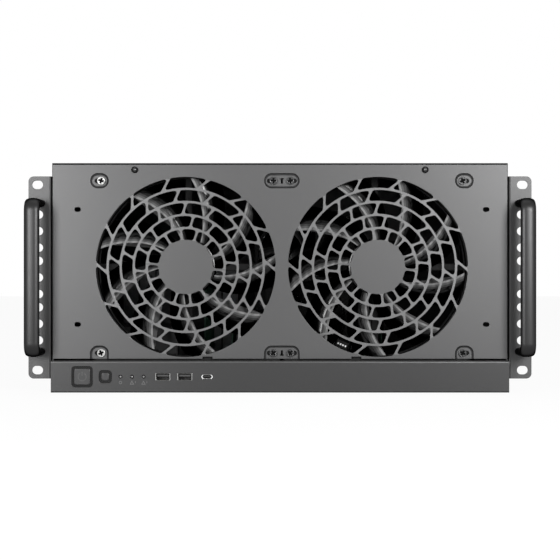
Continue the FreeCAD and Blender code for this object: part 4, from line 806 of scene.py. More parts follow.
# %% [markdown]
# ## Fans
# A fan blade is a curved plate that sweeps forward to its tip. Each blade here is a row of outlines
# from its front edge to its rear edge, joined into a skin. Near the front edge it lies almost flat
# to the eye, then it turns away towards the rear. Flat plates would catch the light all at once,
# while a curved blade shades from edge to edge as the real ones do. The first strips behind the
# front edge have the paler finishes, a painted highlight. The fan at the rear is made in the same
# way, with wider blades.

# %% Fan rotors
FAN_FRONT = -221.3
FAN_REAR = FAN_FRONT + 32.0
FAN_BORE = 86.6
FRONT_START = {"left": -17.0, "right": 11.3}
REAR_FAN = (30.0, 130.0)
BLADE_SWEEP = 25.0
EDGE_SHARE = 0.3
EDGE_RISE = 0.26
EDGE_CLEAR = 1.4
BLADE_STEPS = 12
BLADE_THIN, BLADE_SWELL = 0.25, 1.5
ROOT_DEPTH = 1.5
SHAFT_RADIUS = 2.4
SHAFT_LENGTH = 5.3
Rotor = namedtuple("Rotor", "x z front length hub tip blades root_share tip_share")


def blade_outline(rotor, along, turn):
    """One outline across a blade: out along its front side and back along its rear side."""
    hook = max(along - EDGE_SHARE, 0) / (1 - EDGE_SHARE)
    rise = EDGE_RISE * rotor.length
    deep = rotor.front + EDGE_CLEAR + rise * along
    deep += (rotor.length - 2 * EDGE_CLEAR - rise) * hook**2
    thick = BLADE_THIN + BLADE_SWELL * math.sqrt(max(along * (1 - along), 0))
    root = rotor.hub - ROOT_DEPTH
    front = []
    rear = []
    for step in range(BLADE_STEPS + 1):
        radius = root + (rotor.tip - root) * step / BLADE_STEPS
        share = (radius - rotor.hub) / (rotor.tip - rotor.hub)
        cover = rotor.root_share + (rotor.tip_share - rotor.root_share) * share
        angle = math.radians(turn + BLADE_SWEEP * share - 360 / rotor.blades * cover * along)
        x = rotor.x + radius * math.cos(angle)
        z = rotor.z + radius * math.sin(angle)
        front.append((x, deep - thick / 2, z))
        rear.append((x, deep + thick / 2, z))
    return front + rear[::-1]


def fan_rotor(rotor, turn):
    stock = Stock()
    hub, length = rotor.hub, rotor.length
    cap = [(0.5, 0.6), (hub / 3, 0.6), (hub / 3 + 0.6, 0)]
    cap += [(hub - 2.4, 0), (hub - 0.8, 0.5), (hub, 1.8)]
    shaft = [(SHAFT_RADIUS, length), (SHAFT_RADIUS, length + SHAFT_LENGTH)]
    stock.turned(cap + [(hub, length)] + shaft, (rotor.x, rotor.front, rotor.z), 72)
    # The first strips behind the front edge take the pale finishes: a painted highlight.
    marks = [*range(1, len(LIP_HIGHLIGHTS) + 1), *[0] * (BLADE_STEPS - len(LIP_HIGHLIGHTS))]
    shares = [step / BLADE_STEPS for step in range(BLADE_STEPS + 1)]
    for blade in range(rotor.blades):
        angle = turn + 360 * blade / rotor.blades
        stock.loft([blade_outline(rotor, share, angle) for share in shares], marks)
    return stock


blade_finishes = (FAN_BLACK, *LIP_HIGHLIGHTS)
for side, x in FANS:
    rotor = Rotor(
        x, FAN_Z, front=FAN_FRONT + 2.5, length=24.1, hub=27.0, tip=85.3, blades=9,
        root_share=0.675, tip_share=0.5,
    )
    stock = fan_rotor(rotor, FRONT_START[side])
    name = f"{side}_swept_rotor"
    rotor_piece = stock.piece(name, f"{side}_fan", "fan_black", *blade_finishes, bend=40)
    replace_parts(rotor_piece, f"{side}_fan_rotor")
rotor = Rotor(
    *REAR_FAN, front=201.3, length=17.1, hub=20.0, tip=56.2, blades=7, root_share=1.05, tip_share=1.05
)
stock = fan_rotor(rotor, 0)
rear_piece = stock.piece("rear_swept_rotor", "rear_fan", "fan_black", *blade_finishes, bend=40)
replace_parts(rear_piece, "rear_fan_rotor")
print("rotors made")

# %% [markdown]
# The frame is square with a round throat. Its two flanges carry the screws, and a cross of struts
# at the rear holds the motor.

# %% Fan frames
FRAME_HALF, FRAME_CORNER = 90.0, 4.0
FLANGE = 4.0
SLEEVE_RADIUS = 89.0
SLEEVE_ENDS = (3.6, 28.4)
STRUT_REACH, STRUT_HALF, STRUT_DEPTH = 87.4, 3.5, 5.0
STRUT_STEP = 0.05
MOTOR_BASE = ((2.6, 0), (26.2, 0), (27, 0.8), (27, 4.2), (26.2, 5.0), (2.6, 5.0))


def fan_frame(x):
    stock = Stock()
    centre = (x, FAN_Z)
    sides = (-SCREW_ROW, SCREW_ROW)
    holes = [circle(centre, FAN_BORE, 96)]
    holes += [circle((x + a, FAN_Z + b), SCREW_HOLE, 16) for a in sides for b in sides]
    outline = box_about(x, FAN_Z, FRAME_HALF, FRAME_HALF, FRAME_CORNER)
    stock.sheet(outline, holes, FAN_FRONT, FAN_FRONT + FLANGE, edge=0.4)
    stock.sheet(outline, holes, FAN_REAR - FLANGE, FAN_REAR, edge=0.4)
    rings = []
    for radius, ends in ((FAN_BORE, SLEEVE_ENDS), (SLEEVE_RADIUS, SLEEVE_ENDS[::-1])):
        for depth in ends:
            rings.append(at_depth(circle(centre, radius, 96), FAN_FRONT + depth))
    stock.loft(rings, 0, True, (False, False), True)
    strut_front = FAN_REAR - STRUT_DEPTH
    low = (x - STRUT_REACH, strut_front, FAN_Z - STRUT_HALF)
    stock.bar(low, (x + STRUT_REACH, FAN_REAR, FAN_Z + STRUT_HALF), 1.0)
    low = (x - STRUT_HALF, strut_front + STRUT_STEP, FAN_Z - STRUT_REACH)
    stock.bar(low, (x + STRUT_HALF, FAN_REAR - STRUT_STEP, FAN_Z + STRUT_REACH), 1.0)
    stock.turned(MOTOR_BASE, (x, strut_front, FAN_Z), 64)
    return stock


for side, x in FANS:
    frame_piece = fan_frame(x).piece(f"{side}_square_frame", "chassis", "fan_black", FRAME_BLACK)
    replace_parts(frame_piece, f"{side}_fan_frame")
print("fan frames made")

# %% [markdown]
# Low in the right grille a small plug on the fan's frame shows its light contacts in a row. It lies
# askew, along the frame's round edge, so its points are given as a way out from the fan's middle
# and a way aside.

# %% Fan plug
PLUG_TURN = 247.0
PLUG_DEPTH = 4.8
PLUG_MIDDLE = 82.2
PLUG_WIDE, PLUG_LONG = 3.4, 6.0
PLUG_EDGE = ((0.5, 0.0), (0.12, 0.12), (0.0, 0.5), (0.0, PLUG_DEPTH))
PINS, PIN_PITCH, PIN_WIDE, PIN_LONG = 4, 2.54, 0.9, 0.75
PIN_EDGE = ((0.8, -0.3), (1.0, -0.1), (1.0, 0.2))
plug = Stock()
along = (math.cos(math.radians(PLUG_TURN)), math.sin(math.radians(PLUG_TURN)))
aside = (-along[1], along[0])


def plug_point(out, side, deep):
    x = FANS[1][1] + along[0] * out + aside[0] * side
    z = FAN_Z + along[1] * out + aside[1] * side
    return (x, FAN_REAR - PLUG_DEPTH + deep, z)


housing = box_about(0, 0, PLUG_WIDE, PLUG_LONG, 0.6, 3)
plug_rings = []
for inset, deep in PLUG_EDGE:
    ring = [(u * (1 - inset / PLUG_WIDE), v * (1 - inset / PLUG_LONG)) for u, v in housing]
    plug_rings.append([plug_point(PLUG_MIDDLE + u, v, deep) for u, v in ring])
plug.loft(plug_rings)
pin = box_about(0, 0, PIN_WIDE, PIN_LONG, 0.25, 3)
for step in range(PINS):
    offset = (step - (PINS - 1) / 2) * PIN_PITCH
    rings = []
    for grow, deep in PIN_EDGE:
        rings.append([plug_point(PLUG_MIDDLE + u * grow, offset + v * grow, deep) for u, v in pin])
    plug.loft(rings, 1)
plug_piece = plug.piece("fan_lead_plug", "chassis", "fan_black", FRAME_BLACK, TIN)
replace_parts(plug_piece, "fan_plug")
print("fan plug made")

# %% [markdown]
# ## Fasteners
# A pan-head screw has a low crown with a cross pressed into it. The head is sheet stock again: a
# disc with a cross-shaped hole, laid on a plain disc, which gives the recess a floor; that floor
# is painted near-black as the shade in the recess. The outer screws on the left get the bright
# steel as a painted highlight, while the other screws of the front fans get the dark steel as
# painted shade.

# %% Screws
SCREW_FINISHES = (BRIGHT, DARK_STEEL_AND_SHADE, PAINTED_SHADE_AND_BLACK_COAT)
HEAD_RADIUS, HEAD_HEIGHT = 3.8, 2.2
HEAD_SIDE = ((0.99, 0.0), (1.0, 0.1), (1.0, HEAD_HEIGHT * 0.5))
CROWN_START = HEAD_HEIGHT * 0.4
RECESS_LONG, RECESS_HALF = HEAD_RADIUS * 0.7, HEAD_RADIUS * 0.24
RECESS_FLOOR, FLOOR_GROW = (HEAD_HEIGHT * 0.42, HEAD_HEIGHT * 0.55), 0.8
FIRST_TURN, TURN_STEP, EAR_TURN_STEP = 0.4, 0.9, 0.7
DISH_FLOOR = PANEL_FRONT + DISH_FRONT[-1][1]
HIGHLIGHT_LIMIT = -170.0
REAR_FACE = 225.0
REAR_FAN_ROW = 52.5
PSU_X, PSU_Z = 161.0, 76.2
PSU_ACROSS, PSU_UP = 39.8, 71.8


def cross(radius, half):
    quarter = [(half, half), (half, radius), (-half, radius)]
    points = []
    for c, s in ((1, 0), (0, 1), (-1, 0), (0, -1)):
        points += [(u * c - v * s, u * s + v * c) for u, v in quarter]
    return points


def pan_head(stock, place, out, turn, mark=0):
    """A head whose crown faces along out, seated at place."""
    axis = Vector(out)
    side = Vector((0, 0, 1))
    other = axis.cross(side)
    c, s = math.cos(turn), math.sin(turn)

    def plane(u, v, w):
        spot = Vector(place) + side * (u * c - v * s) + other * (u * s + v * c) + axis * w
        return tuple(spot)

    def disc(grow, w, steps):
        return [plane(u, v, w) for u, v in circle((0, 0), HEAD_RADIUS * grow, steps)]

    crown = circle((0, 0), HEAD_RADIUS, 36)
    recess = cross(RECESS_LONG, RECESS_HALF)
    stock.sheet(crown, [recess], CROWN_START, HEAD_HEIGHT, plane, 0.3, mark)
    stock.loft([disc(grow, w, 36) for grow, w in HEAD_SIDE], mark)
    # The recess floor gets the near-black coat: painted shade.
    stock.loft([disc(FLOOR_GROW, w, 12) for w in RECESS_FLOOR], 2)


def screws(name, node, places, out, marks=None):
    stock = Stock()
    for index, place in enumerate(places):
        turn = FIRST_TURN + TURN_STEP * index
        pan_head(stock, place, out, turn, marks[index] if marks else 0)
    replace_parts(stock.piece(name, "chassis", "screw_steel", *SCREW_FINISHES), node)


fan_places = [(x, DISH_FLOOR, FAN_Z + z) for x, _ in SCREWS for z in (-SCREW_ROW, SCREW_ROW)]
# Bright steel is a painted highlight on the outer left screws, dark steel painted shade on the rest.
highlight_and_shade_marks = [0 if x < HIGHLIGHT_LIMIT else 1 for x, _, _ in fan_places]
screws("fan_pan_screws", "fan_screws", fan_places, (0, -1, 0), highlight_and_shade_marks)
turns = [(a, b) for a in SIDES for b in SIDES]
x, z = REAR_FAN
rear_corners = [(x + a * REAR_FAN_ROW, REAR_FACE, z + b * REAR_FAN_ROW) for a, b in turns]
screws("rear_fan_pan_screws", "rear_fan_screws", rear_corners, (0, 1, 0))
psu_corners = [(PSU_X + a * PSU_ACROSS, REAR_FACE, PSU_Z + b * PSU_UP) for a, b in turns]
screws("psu_pan_screws", "psu_screws", psu_corners, (0, 1, 0))
ear_stock = Stock()
for sign in SIDES:
    for index, z in enumerate(EAR_SCREW_Z):
        place = (sign * (PANEL_SIDE + EAR_GAUGE), EAR_SCREW_Y, z)
        pan_head(ear_stock, place, (sign, 0, 0), EAR_TURN_STEP * index)
ear_screws = ear_stock.piece("ear_pan_screws", "chassis", "screw_steel", *SCREW_FINISHES)
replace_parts(ear_screws, "ear_screws")
back_places = [(a * RACK_X, EAR_BACK, MID_Z + b * HANDLE_PITCH / 2) for a, b in turns]
screws("handle_pan_screws", "handle_screws", back_places, (0, 1, 0))
print("screws made")

# %% [markdown]
# Two domed studs stand above the grilles, each on a dark collar. The top cover is held by
# thumbscrews: turned heads whose outline is cut back at every third point along the grip, for the
# fingers.

# %% Studs and thumbscrews
STUD_X, STUD_DROP = 139.0, 6.5
STUD_DOME = ((0.1, -3.2), (0.8, -3.1), (1.5, -2.75), (2.0, -2.2), (2.2, -1.6))
STUD_COLLAR = ((0.1, -1.7), (2.24, -1.7), (2.7, -1.6), (3.2, -1.2), (3.2, 0))
THUMB_X = (-175.0, 0.0, 175.0)
THUMB_Y, THUMB_Z = 226.5, 213.0
THUMB_STEPS = 72
THUMB_PROFILE = ((4.9, 0.0), (5.5, 0.6), (5.5, 7.0), (4.9, 7.6), (3.0, 8.0), (0.1, 8.0))
GRIP_START, GRIP_END, GRIP_CUT = 0.5, 7.2, 0.35
stud_stock = Stock()
for x in (-STUD_X, STUD_X):
    centre = (x, PANEL_FRONT, PANEL_TOP - STUD_DROP)
    stud_stock.turned(STUD_DOME, centre, 36)
    stud_stock.turned(STUD_COLLAR, centre, 36, PAINTED_SHADE_AND_BLACK_MARK)
studs = stud_stock.piece("snap_domes", "chassis", "screw_steel", DARK_STEEL_AND_SHADE, PAINTED_SHADE_AND_BLACK_COAT)
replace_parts(studs, "snap_studs")

thumb_stock = Stock()
for x in THUMB_X:
    ribs = []
    for radius, depth in THUMB_PROFILE:
        ring = []
        for step in range(THUMB_STEPS):
            angle = 2 * math.pi * step / THUMB_STEPS
            cut = GRIP_CUT if step % 3 == 0 and GRIP_START < depth < GRIP_END else 0.0
            u = (radius - cut) * math.cos(angle)
            v = (radius - cut) * math.sin(angle)
            ring.append((x + u, THUMB_Y + depth, THUMB_Z + v))
        ribs.append(ring)
    thumb_stock.loft(ribs)
thumbscrews = thumb_stock.piece("knurled_thumbscrews", "cover", "screw_steel", BRIGHT)
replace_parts(thumbscrews, "cover_thumbscrews")
print("studs and thumbscrews made")

# %% [markdown]
# ## Control strip
# The strip below the panel stands forward by a finger's width, and its upper edge is bent back to
# the panel. That bend gets the panel's lighter coat, a painted highlight: a thin line of light above
# the controls. Its rounded lower edge gets the near-black coat as painted shade. Each button stands
# in a hole a little wider than itself, and its rim behind the hole is painted near-black as the
# shade of the groove that runs round it.

# %% Strip
STRIP_FRONT = -235.0
STRIP_BACK = -233.8
STRIP_TOP = 30.0
STRIP_BEND = 1.5
LOWER_ROUND = 0.9
FOLD_HIGHLIGHT_MARK = 2
CONTROL_Z = 15.1
POWER_X, POWER_HOLE, POWER_CORNER = -188.2, 20.2, 3.4
RESET_X, RESET_HOLE, RESET_CORNER = -166.2, 12.5, 3.6
LAMPS, LAMP_HOLE = (-151.7, -140.7, -129.7), 1.8
USB_A, USB_A_HOLE = (-111.4, -90.5), (7.25, 3.55)
USB_C, USB_C_HOLE = -69.3, (10.7, 4.1)


def centred(x, half, corner):
    """A rounded box in the row of controls, from half its width and half its height."""
    return box_about(x, CONTROL_Z, *half, corner)


def square(x, side, corner):
    return centred(x, (side / 2, side / 2), corner)


strip = Stock()
strip_holes = [square(POWER_X, POWER_HOLE, POWER_CORNER)]
strip_holes += [square(RESET_X, RESET_HOLE, RESET_CORNER)]
strip_holes += [circle((x, CONTROL_Z), LAMP_HOLE, 24) for x in LAMPS]
strip_holes += [centred(x, USB_A_HOLE, 0.5) for x in USB_A]
strip_holes += [oval(USB_C, CONTROL_Z, *USB_C_HOLE)]
fold_start = STRIP_TOP - STRIP_BEND
under_fold = STRIP_TOP - PANEL_GAUGE
strip_rim = [(-PANEL_SIDE, LOWER_ROUND), (PANEL_SIDE, LOWER_ROUND)]
strip_rim += [(PANEL_SIDE, fold_start), (-PANEL_SIDE, fold_start)]
strip.sheet(strip_rim, strip_holes, STRIP_FRONT, STRIP_BACK, edge=0.12)
bend = arc((0, 0), STRIP_BEND, 0, 90, 6)
fold = [(STRIP_FRONT, fold_start)]
fold += [(STRIP_FRONT + STRIP_BEND - y, fold_start + z) for y, z in bend]
fold += [(PANEL_BACK, STRIP_TOP), (PANEL_BACK, under_fold), (STRIP_BACK + 0.3, under_fold)]
fold += [(STRIP_BACK, fold_start)]
# The bend gets the panel's lighter coat: a painted highlight.
strip.folded(fold, PANEL_SIDE, FOLD_HIGHLIGHT_MARK)
# The rounded lower edge gets the near-black coat: painted shade.
lower = arc((STRIP_FRONT + LOWER_ROUND, LOWER_ROUND), LOWER_ROUND, 180, 270, 5)
lower += [(STRIP_BACK, 0), (STRIP_BACK, LOWER_ROUND)]
strip.folded(lower, PANEL_SIDE, PAINTED_SHADE_AND_BLACK_MARK)
for sign in SIDES:
    low, high = sorted((sign * (PANEL_SIDE - PANEL_GAUGE), sign * PANEL_SIDE))
    strip.bar((low, STRIP_BACK, 0), (high, PANEL_BACK, under_fold), 0.1)
coats = (STRIP_COAT, PAINTED_SHADE_AND_BLACK_COAT, PANEL_COAT)
strip_piece = strip.piece("control_strip", "chassis", "panel_paint", *coats)
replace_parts(strip_piece, "io_strip")
print("strip made")

# %% [markdown]
# A button is a cap with a softly rounded edge on a rim that keeps it in the strip; the rim and the
# plunger are painted near-black as the shade of the groove round the cap. The large cap carries a
# plain power symbol, which is the same on every machine; the small one is bare.

# %% Buttons
CAP_EDGE = ((0.7, 0.0), (0.3, 0.08), (0.08, 0.3), (0.0, 0.7), (0.0, 1.6))
POWER_CAP, RESET_CAP = 15.6, 7.6
CAP_CORNER, RIM_CORNER = 2.25, 3.0
RIM_DEPTHS, RIM_EXTRA = (1.5, 3.1), 3.2
PLUNGER = ((2.1, 3.1), (2.1, 8.6), (0.2, 8.7))
SYMBOL_OUTER, SYMBOL_INNER, SYMBOL_SPAN = 4.3, 3.4, (122, 418)
STEM_HALF, STEM_LOW, STEM_HIGH = 0.45, CONTROL_Z + 0.9, CONTROL_Z + 5.0
SYMBOL_Y = (STRIP_FRONT - 0.12, STRIP_FRONT + 0.1)


def button(x, cap, hole):
    stock = Stock()
    rings = []
    for inset, deep in CAP_EDGE:
        rings.append(at_depth(square(x, cap - 2 * inset, CAP_CORNER), STRIP_FRONT + deep))
    stock.loft(rings)
    rim = square(x, hole + RIM_EXTRA, RIM_CORNER)
    # The rim gets the groove's painted shade.
    stock.loft([at_depth(rim, STRIP_FRONT + deep) for deep in RIM_DEPTHS], 1)
    stock.turned(PLUNGER, (x, STRIP_FRONT, CONTROL_Z), 24, 1)
    return stock


power = button(POWER_X, POWER_CAP, POWER_HOLE)
bow = arc((POWER_X, CONTROL_Z), SYMBOL_OUTER, *SYMBOL_SPAN, 40)
inner_bow = arc((POWER_X, CONTROL_Z), SYMBOL_INNER, *SYMBOL_SPAN[::-1], 40)
power.sheet(bow + inner_bow, [], *SYMBOL_Y, edge=0.05, mark=2)
stem = rounded_box(POWER_X - STEM_HALF, POWER_X + STEM_HALF, STEM_LOW, STEM_HIGH, 0.4, 4)
power.sheet(stem, [], *SYMBOL_Y, edge=0.05, mark=2)
finishes = (STRIP_COAT, GROOVE_SHADE, MARK_GREY)
power_piece = power.piece("power_cap", "power_button", "control_plastic", *finishes)
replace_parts(power_piece, "power_button")
reset = button(RESET_X, RESET_CAP, RESET_HOLE)
reset_piece = reset.piece("reset_cap", "reset_button", "control_plastic", STRIP_COAT, GROOVE_SHADE)
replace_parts(reset_piece, "reset_button")
print("buttons made")

# %% [markdown]
# The lamps are light pipes: short clear rods whose domed ends stand just proud of the strip. The
# ring round each dome and the rod's side are painted near-black as the shade of the hole. Small
# printed marks below them say what each one means.

# %% Lamps and marks
lamps = Stock()
dome = [(0.05, -0.4), (0.6, -0.33), (0.95, -0.12), (1.1, 0.15)]
pipe = [(1.15, 0.7), (1.65, 0.7), (1.65, 13.0)]
# The last three steps of each rod get the near-black coat: painted shade in the hole.
for x in LAMPS:
    lamps.turned(dome + pipe, (x, STRIP_FRONT, CONTROL_Z), 28, [0, 0, 0, 1, 1, 1])
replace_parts(lamps.piece("lamp_domes", "chassis", "lens", LENS, PAINTED_SHADE_AND_BLACK_COAT), "status_lenses")

marks = Stock()
MARK_Z = CONTROL_Z - 5.5
MARK_Y = (STRIP_FRONT - 0.06, STRIP_FRONT + 0.05)
spot = (LAMPS[0], MARK_Z)
marks.sheet(circle(spot, 1.5, 28), [circle(spot, 0.9, 24)], *MARK_Y, edge=0.01)
for x in LAMPS[1:]:
    outer = [(x - 2.2, MARK_Z - 1.9), (x + 2.0, MARK_Z - 1.9), (x - 0.1, MARK_Z + 1.9)]
    inner = [(x - 1.2, MARK_Z - 1.3), (x + 1.0, MARK_Z - 1.3), (x - 0.1, MARK_Z + 0.7)]
    marks.sheet(outer, [inner], *MARK_Y, edge=0.01)
    stroke = rounded_box(x + 2.9, x + 3.4, MARK_Z - 0.6, MARK_Z + 1.4, 0.1, 2)
    marks.sheet(stroke, [], *MARK_Y, edge=0.01)
marks.piece("lamp_marks", "chassis", "panel_paint", MARK_PALE)
print("lamps made")

# %% [markdown]
# The sockets are folded from bright sheet, with a black tongue inside that carries the contacts.

# %% Sockets
USB_A_SHELL, USB_A_MOUTH = (7.1, 3.4), (6.4, 3.2)
USB_C_SHELL, USB_C_MOUTH, USB_C_FLOOR = (10.4, 3.8), (9.1, 3.5), (10.2, 3.6)
SOCKET_FRONT = STRIP_FRONT - 0.3
SOCKET_FLOOR, SOCKET_BACK = -222.0, -221.3
TONGUE_FRONT, TONGUE_HALF, TONGUE_HIGH = STRIP_BACK + 0.6, 5.6, 2.0
SMALL_HALF, SMALL_HIGH = 3.4, 0.35
CONTACT_FRONT, CONTACT_BACK = STRIP_BACK + 4.0, -224.0
CONTACTS, CONTACT_START, CONTACT_PITCH, CONTACT_WIDTH = 4, 4.4, 2.5, 1.1
shells = Stock()
tongues = Stock()
for x in USB_A:
    outer = centred(x, USB_A_SHELL, 0.6)
    shells.sheet(outer, [centred(x, USB_A_MOUTH, 0.3)], SOCKET_FRONT, SOCKET_BACK, edge=0.08)
    shells.sheet(outer, [], SOCKET_FLOOR, SOCKET_BACK, edge=0.1, mark=1)
    high = (x + TONGUE_HALF, SOCKET_FLOOR, CONTROL_Z + TONGUE_HIGH)
    tongues.bar((x - TONGUE_HALF, TONGUE_FRONT, CONTROL_Z), high, 0.25)
    for step in range(CONTACTS):
        left = x - CONTACT_START + step * CONTACT_PITCH
        high = (left + CONTACT_WIDTH, CONTACT_BACK, CONTROL_Z + 0.3)
        tongues.bar((left, CONTACT_FRONT, CONTROL_Z - 0.15), high, 0.05, 1)
shell_piece = shells.piece("folded_shells", "chassis", "screw_steel", BRIGHT, SOCKET_BLACK)
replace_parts(shell_piece, "usb_a_shells")
tongue_piece = tongues.piece("socket_tongues", "chassis", "socket_plastic", SOCKET_BLACK, GOLD)
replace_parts(tongue_piece, "usb_a_tongues")

small_shell = Stock()
outer, mouth = (oval(USB_C, CONTROL_Z, *size) for size in (USB_C_SHELL, USB_C_MOUTH))
small_shell.sheet(outer, [mouth], SOCKET_FRONT, SOCKET_BACK, edge=0.06)
floor = oval(USB_C, CONTROL_Z, *USB_C_FLOOR)
small_shell.sheet(floor, [], SOCKET_FLOOR, SOCKET_BACK, edge=0.1, mark=1)
small_piece = small_shell.piece("small_folded_shell", "chassis", "screw_steel", TIN, SOCKET_BLACK)
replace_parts(small_piece, "usb_c_shell")
small_tongue = Stock()
high = (USB_C + SMALL_HALF, SOCKET_FLOOR, CONTROL_Z + SMALL_HIGH)
small_tongue.bar((USB_C - SMALL_HALF, TONGUE_FRONT, CONTROL_Z - SMALL_HIGH), high, 0.15)
tongue_piece = small_tongue.piece("small_tongue", "chassis", "socket_plastic", SOCKET_BLACK)
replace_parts(tongue_piece, "usb_c_tongue")
print("sockets made")

# %% [markdown]
# ## Rear details
# At the rear the power supply and the fan breathe out through plates with six-sided holes.

# %% Vent plates
HEX_STEP, HEX_RISE, HEX_RADIUS = 7.0, 6.062, 3.0
PSU_PLATE, PLATE_CORNER = (129, 193, 12, 80), 1.5
PSU_FIRST, PSU_LIMIT, PSU_ROWS, PSU_COLUMNS = (135.0, 18.0), 188.0, 9, 8
FAN_STEP, FAN_RISE, FAN_HEX = 5.95, 5.18, 2.0
FAN_PLATE, FAN_LIMIT, FAN_ROWS = 57.4, 53.0, 9
PLATE_FRONT, FAN_PLATE_FRONT, PLATE_BACK = 223.8, 224.0, 224.6


def six_sided(x, z, radius):
    angles = [math.pi * step / 3 for step in range(6)]
    return [(x + radius * math.sin(angle), z + radius * math.cos(angle)) for angle in angles]


def honeycomb(start, rows, columns, step, rise):
    """Centres in rows, every other row moved by half a step."""
    return [
        (start[0] + column * step + row % 2 * step / 2, start[1] + row * rise)
        for row in rows for column in columns
    ]


rear = Stock()
centres = honeycomb(PSU_FIRST, range(PSU_ROWS), range(PSU_COLUMNS), HEX_STEP, HEX_RISE)
hexes = [six_sided(x, z, HEX_RADIUS) for x, z in centres if x < PSU_LIMIT]
rear.sheet(rounded_box(*PSU_PLATE, PLATE_CORNER), hexes, PLATE_FRONT, PLATE_BACK, edge=0.1)
span = range(-FAN_ROWS, FAN_ROWS + 1)
centres = honeycomb(REAR_FAN, span, span, FAN_STEP, FAN_RISE)
fan_hexes = [six_sided(x, z, FAN_HEX) for x, z in centres if math.dist((x, z), REAR_FAN) < FAN_LIMIT]
rear.sheet(circle(REAR_FAN, FAN_PLATE, 64), fan_hexes, FAN_PLATE_FRONT, PLATE_BACK, edge=0.1)
rear.piece("vent_plates", "chassis", "zinc_steel", ZINC)
print(len(hexes) + len(fan_hexes), "vent holes")

# %% [markdown]
# The rear ports stand in a row, each with what is inside it: tongues in the stacked sockets, spring
# contacts in the two square ones and three round jacks in a block.

# %% Rear ports
STACK, SQUARE = 15, 17
PORTS = ((STACK, 17), (STACK, 17), (SQUARE, 14), (SQUARE, 14), (STACK, 30), (24, 13))
PORTS_RIGHT, PORTS_LOW, PORT_SPACE = 102.0, 9.3, 7
PORT_FLOOR = 214.2
STACK_INSET, STACK_HALF, STACK_END = 2.5, 0.9, 224.4
SPRINGS, SPRING_START, SPRING_PITCH, SPRING_WIDTH = 8, 3.7, 1.2, 0.5
SPRING_LOW, SPRING_HIGH, SPRING_END = 3.6, 3.0, 222.5
JACKS, JACK_START, JACK_PITCH, JACK_RADIUS = 3, 4.5, 7.5, 2.0
JACK_INSET, JACK_FACE = 1.6, (223.6, 225.2)
inner_ports = Stock()
right = PORTS_RIGHT
low = PORTS_LOW
for width, height in PORTS:
    left = right - width
    top = low + height
    if width == STACK:
        for share in (0.3, 0.7):
            level = low + height * share
            start = (left + STACK_INSET, PORT_FLOOR, level - STACK_HALF)
            inner_ports.bar(start, (right - STACK_INSET, STACK_END, level + STACK_HALF), 0.25)
    elif width == SQUARE:
        for step in range(SPRINGS):
            x = left + SPRING_START + step * SPRING_PITCH
            end = (x + SPRING_WIDTH, SPRING_END, top - SPRING_HIGH)
            inner_ports.bar((x, PORT_FLOOR, top - SPRING_LOW), end, 0.05, 1)
    else:
        places = [(left + JACK_START + step * JACK_PITCH, low + height / 2) for step in range(JACKS)]
        jacks = [circle(place, JACK_RADIUS, 28) for place in places]
        inside = (left + JACK_INSET, right - JACK_INSET, low + JACK_INSET, top - JACK_INSET)
        face = rounded_box(*inside, 0.5)
        inner_ports.sheet(face, jacks, *JACK_FACE, edge=0.15)
    right = left - PORT_SPACE
inner_ports.piece("port_tongues", "chassis", "socket_plastic", SOCKET_BLACK, GOLD)
print(len(PORTS), "rear ports filled")

# %% [markdown]
# ## The pieces that keep their solids
# Flat sheet, boards and blocks are right as they come. They get their finish, and a narrow bevel
# where a bent or moulded edge would catch the light.

# %% Finishes on the solids
SOFT_EDGE, SHARP_ANGLE = 0.3, 50
FINISHES = {
    COVER_COAT: ["top_cover", "left_side_wall", "right_side_wall", "rear_panel"],
    ZINC: ["floor_pan", "slot_covers", "graphics_bracket", "io_shield"],
    BRIGHT: ["board_standoffs", "io_board_posts", "rear_ports", "processor"],
    FAN_BLACK: [
        "cooler_fan_frame", "cooler_fan_rotor", "rear_fan_frame", "psu_fan_rotor",
        "graphics_fan_rotor",
    ],
    SOCKET_BLACK: [
        "button_switches", "expansion_connectors", "memory_sockets", "processor_socket",
        "board_power_sockets", "ac_inlet", "psu_switch",
    ],
    BOARD: ["io_board", "motherboard", "graphics_board", "memory_modules"],
    ALUMINIUM: ["processor_heatsink", "chipset_heatsink"],
    UNIT_COAT: ["psu_case", "disk_drives", "graphics_cooler", "drive_cage"],
}
for finish, names in FINISHES.items():
    for name in names:
        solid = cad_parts[name]
        solid.data.materials.clear()
        solid.data.materials.append(finish.material)
        edge = solid.modifiers.new("soft_edges", "BEVEL")
        edge.width = SOFT_EDGE * MM
        edge.segments = 2
        edge.limit_method = "ANGLE"
        edge.angle_limit = math.radians(SHARP_ANGLE)
        edge.harden_normals = True
print(sum(len(names) for names in FINISHES.values()), "solids finished")

# %% [markdown]
# ## Light
# Two tall, narrow soft lamps stand left and right of the camera, above it, so that the upper
# corners of the panel are lightest and the middle is a little darker. A weak broad one hangs
# overhead. Lamps belong to the room, so their places and sizes are in metres.

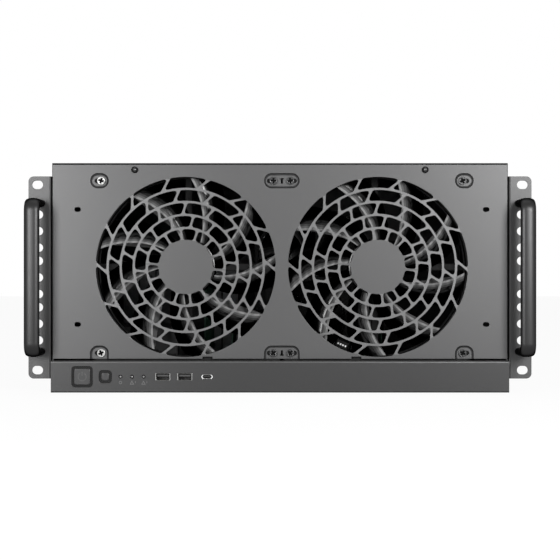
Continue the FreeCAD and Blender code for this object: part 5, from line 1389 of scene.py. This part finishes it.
# %% Lamps
def lamp(name, place, target, size, power):
    data = bpy.data.lights.new(name, "AREA")
    data.shape = "RECTANGLE"
    data.size, data.size_y = size
    data.energy = power
    made = bpy.data.objects.new(name, data)
    made.location = place
    made.rotation_euler = (Vector(target) - Vector(place)).to_track_quat("-Z", "Y").to_euler()
    bpy.context.scene.collection.objects.link(made)


lamp("left_lamp", (-0.64, -1.5, 0.34), (-0.1, -0.2, 0.14), (0.26, 0.6), 14)
lamp("right_lamp", (0.62, -1.5, 0.5), (0.1, -0.2, 0.14), (0.26, 0.6), 20)
lamp("top_lamp", (0, 0.3, 2.2), (0, 0, 0.1), (1.6, 1.6), 10)
print("lamps lit")

# %% [markdown]
# ## Floor and background
# Floor and background are white where they are looked at, straight, in a reflection or through
# glass, and dimmer for the light that they throw on the object. A mix of the floor's own surface
# and a plain glow keeps a faint shadow below the object.

# %% Floor
FLOOR_WHITE = 0.94
FLOOR_REACH = 8.0
floor_mesh = bpy.data.meshes.new("floor")
corners = ((-1, -1), (1, -1), (1, 1), (-1, 1))
floor_mesh.from_pydata([(FLOOR_REACH * u, FLOOR_REACH * v, 0) for u, v in corners], [], [(0, 1, 2, 3)])
floor = bpy.data.objects.new("floor", floor_mesh)
bpy.context.scene.collection.objects.link(floor)
FLOOR = Finish("pale_floor", base_color=(0.82, 0.82, 0.82, 1), roughness=0.9)
floor_mesh.materials.append(FLOOR.material)
surface = Signal(FLOOR, FLOOR.shader.outputs[0])
glow = FLOOR.node("Emission")
both = FLOOR.node("MixShader", None, {0: FLOOR.seen() * FLOOR_WHITE, 1: surface, 2: glow})
FLOOR.feed(FLOOR.tree.nodes["Material Output"].inputs[0], both)
print("floor laid")

# %% [markdown]
# The background does the same with its strength alone: full where it is looked at, and a small share
# of that as a light. The view transform is the plain one, so that white stays white.

# %% Background
ROOM_LIGHT = 0.2
world = bpy.data.worlds.new("studio")
bpy.context.scene.world = world
world.use_nodes = True
room = Tree(world.node_tree)
background = world.node_tree.nodes["Background"]
room.feed(background.inputs["Color"], (1, 1, 1, 1))
room.feed(background.inputs["Strength"], ROOM_LIGHT + room.seen() * (1 - ROOM_LIGHT))
bpy.context.scene.view_settings.view_transform = "Standard"
print("background set")
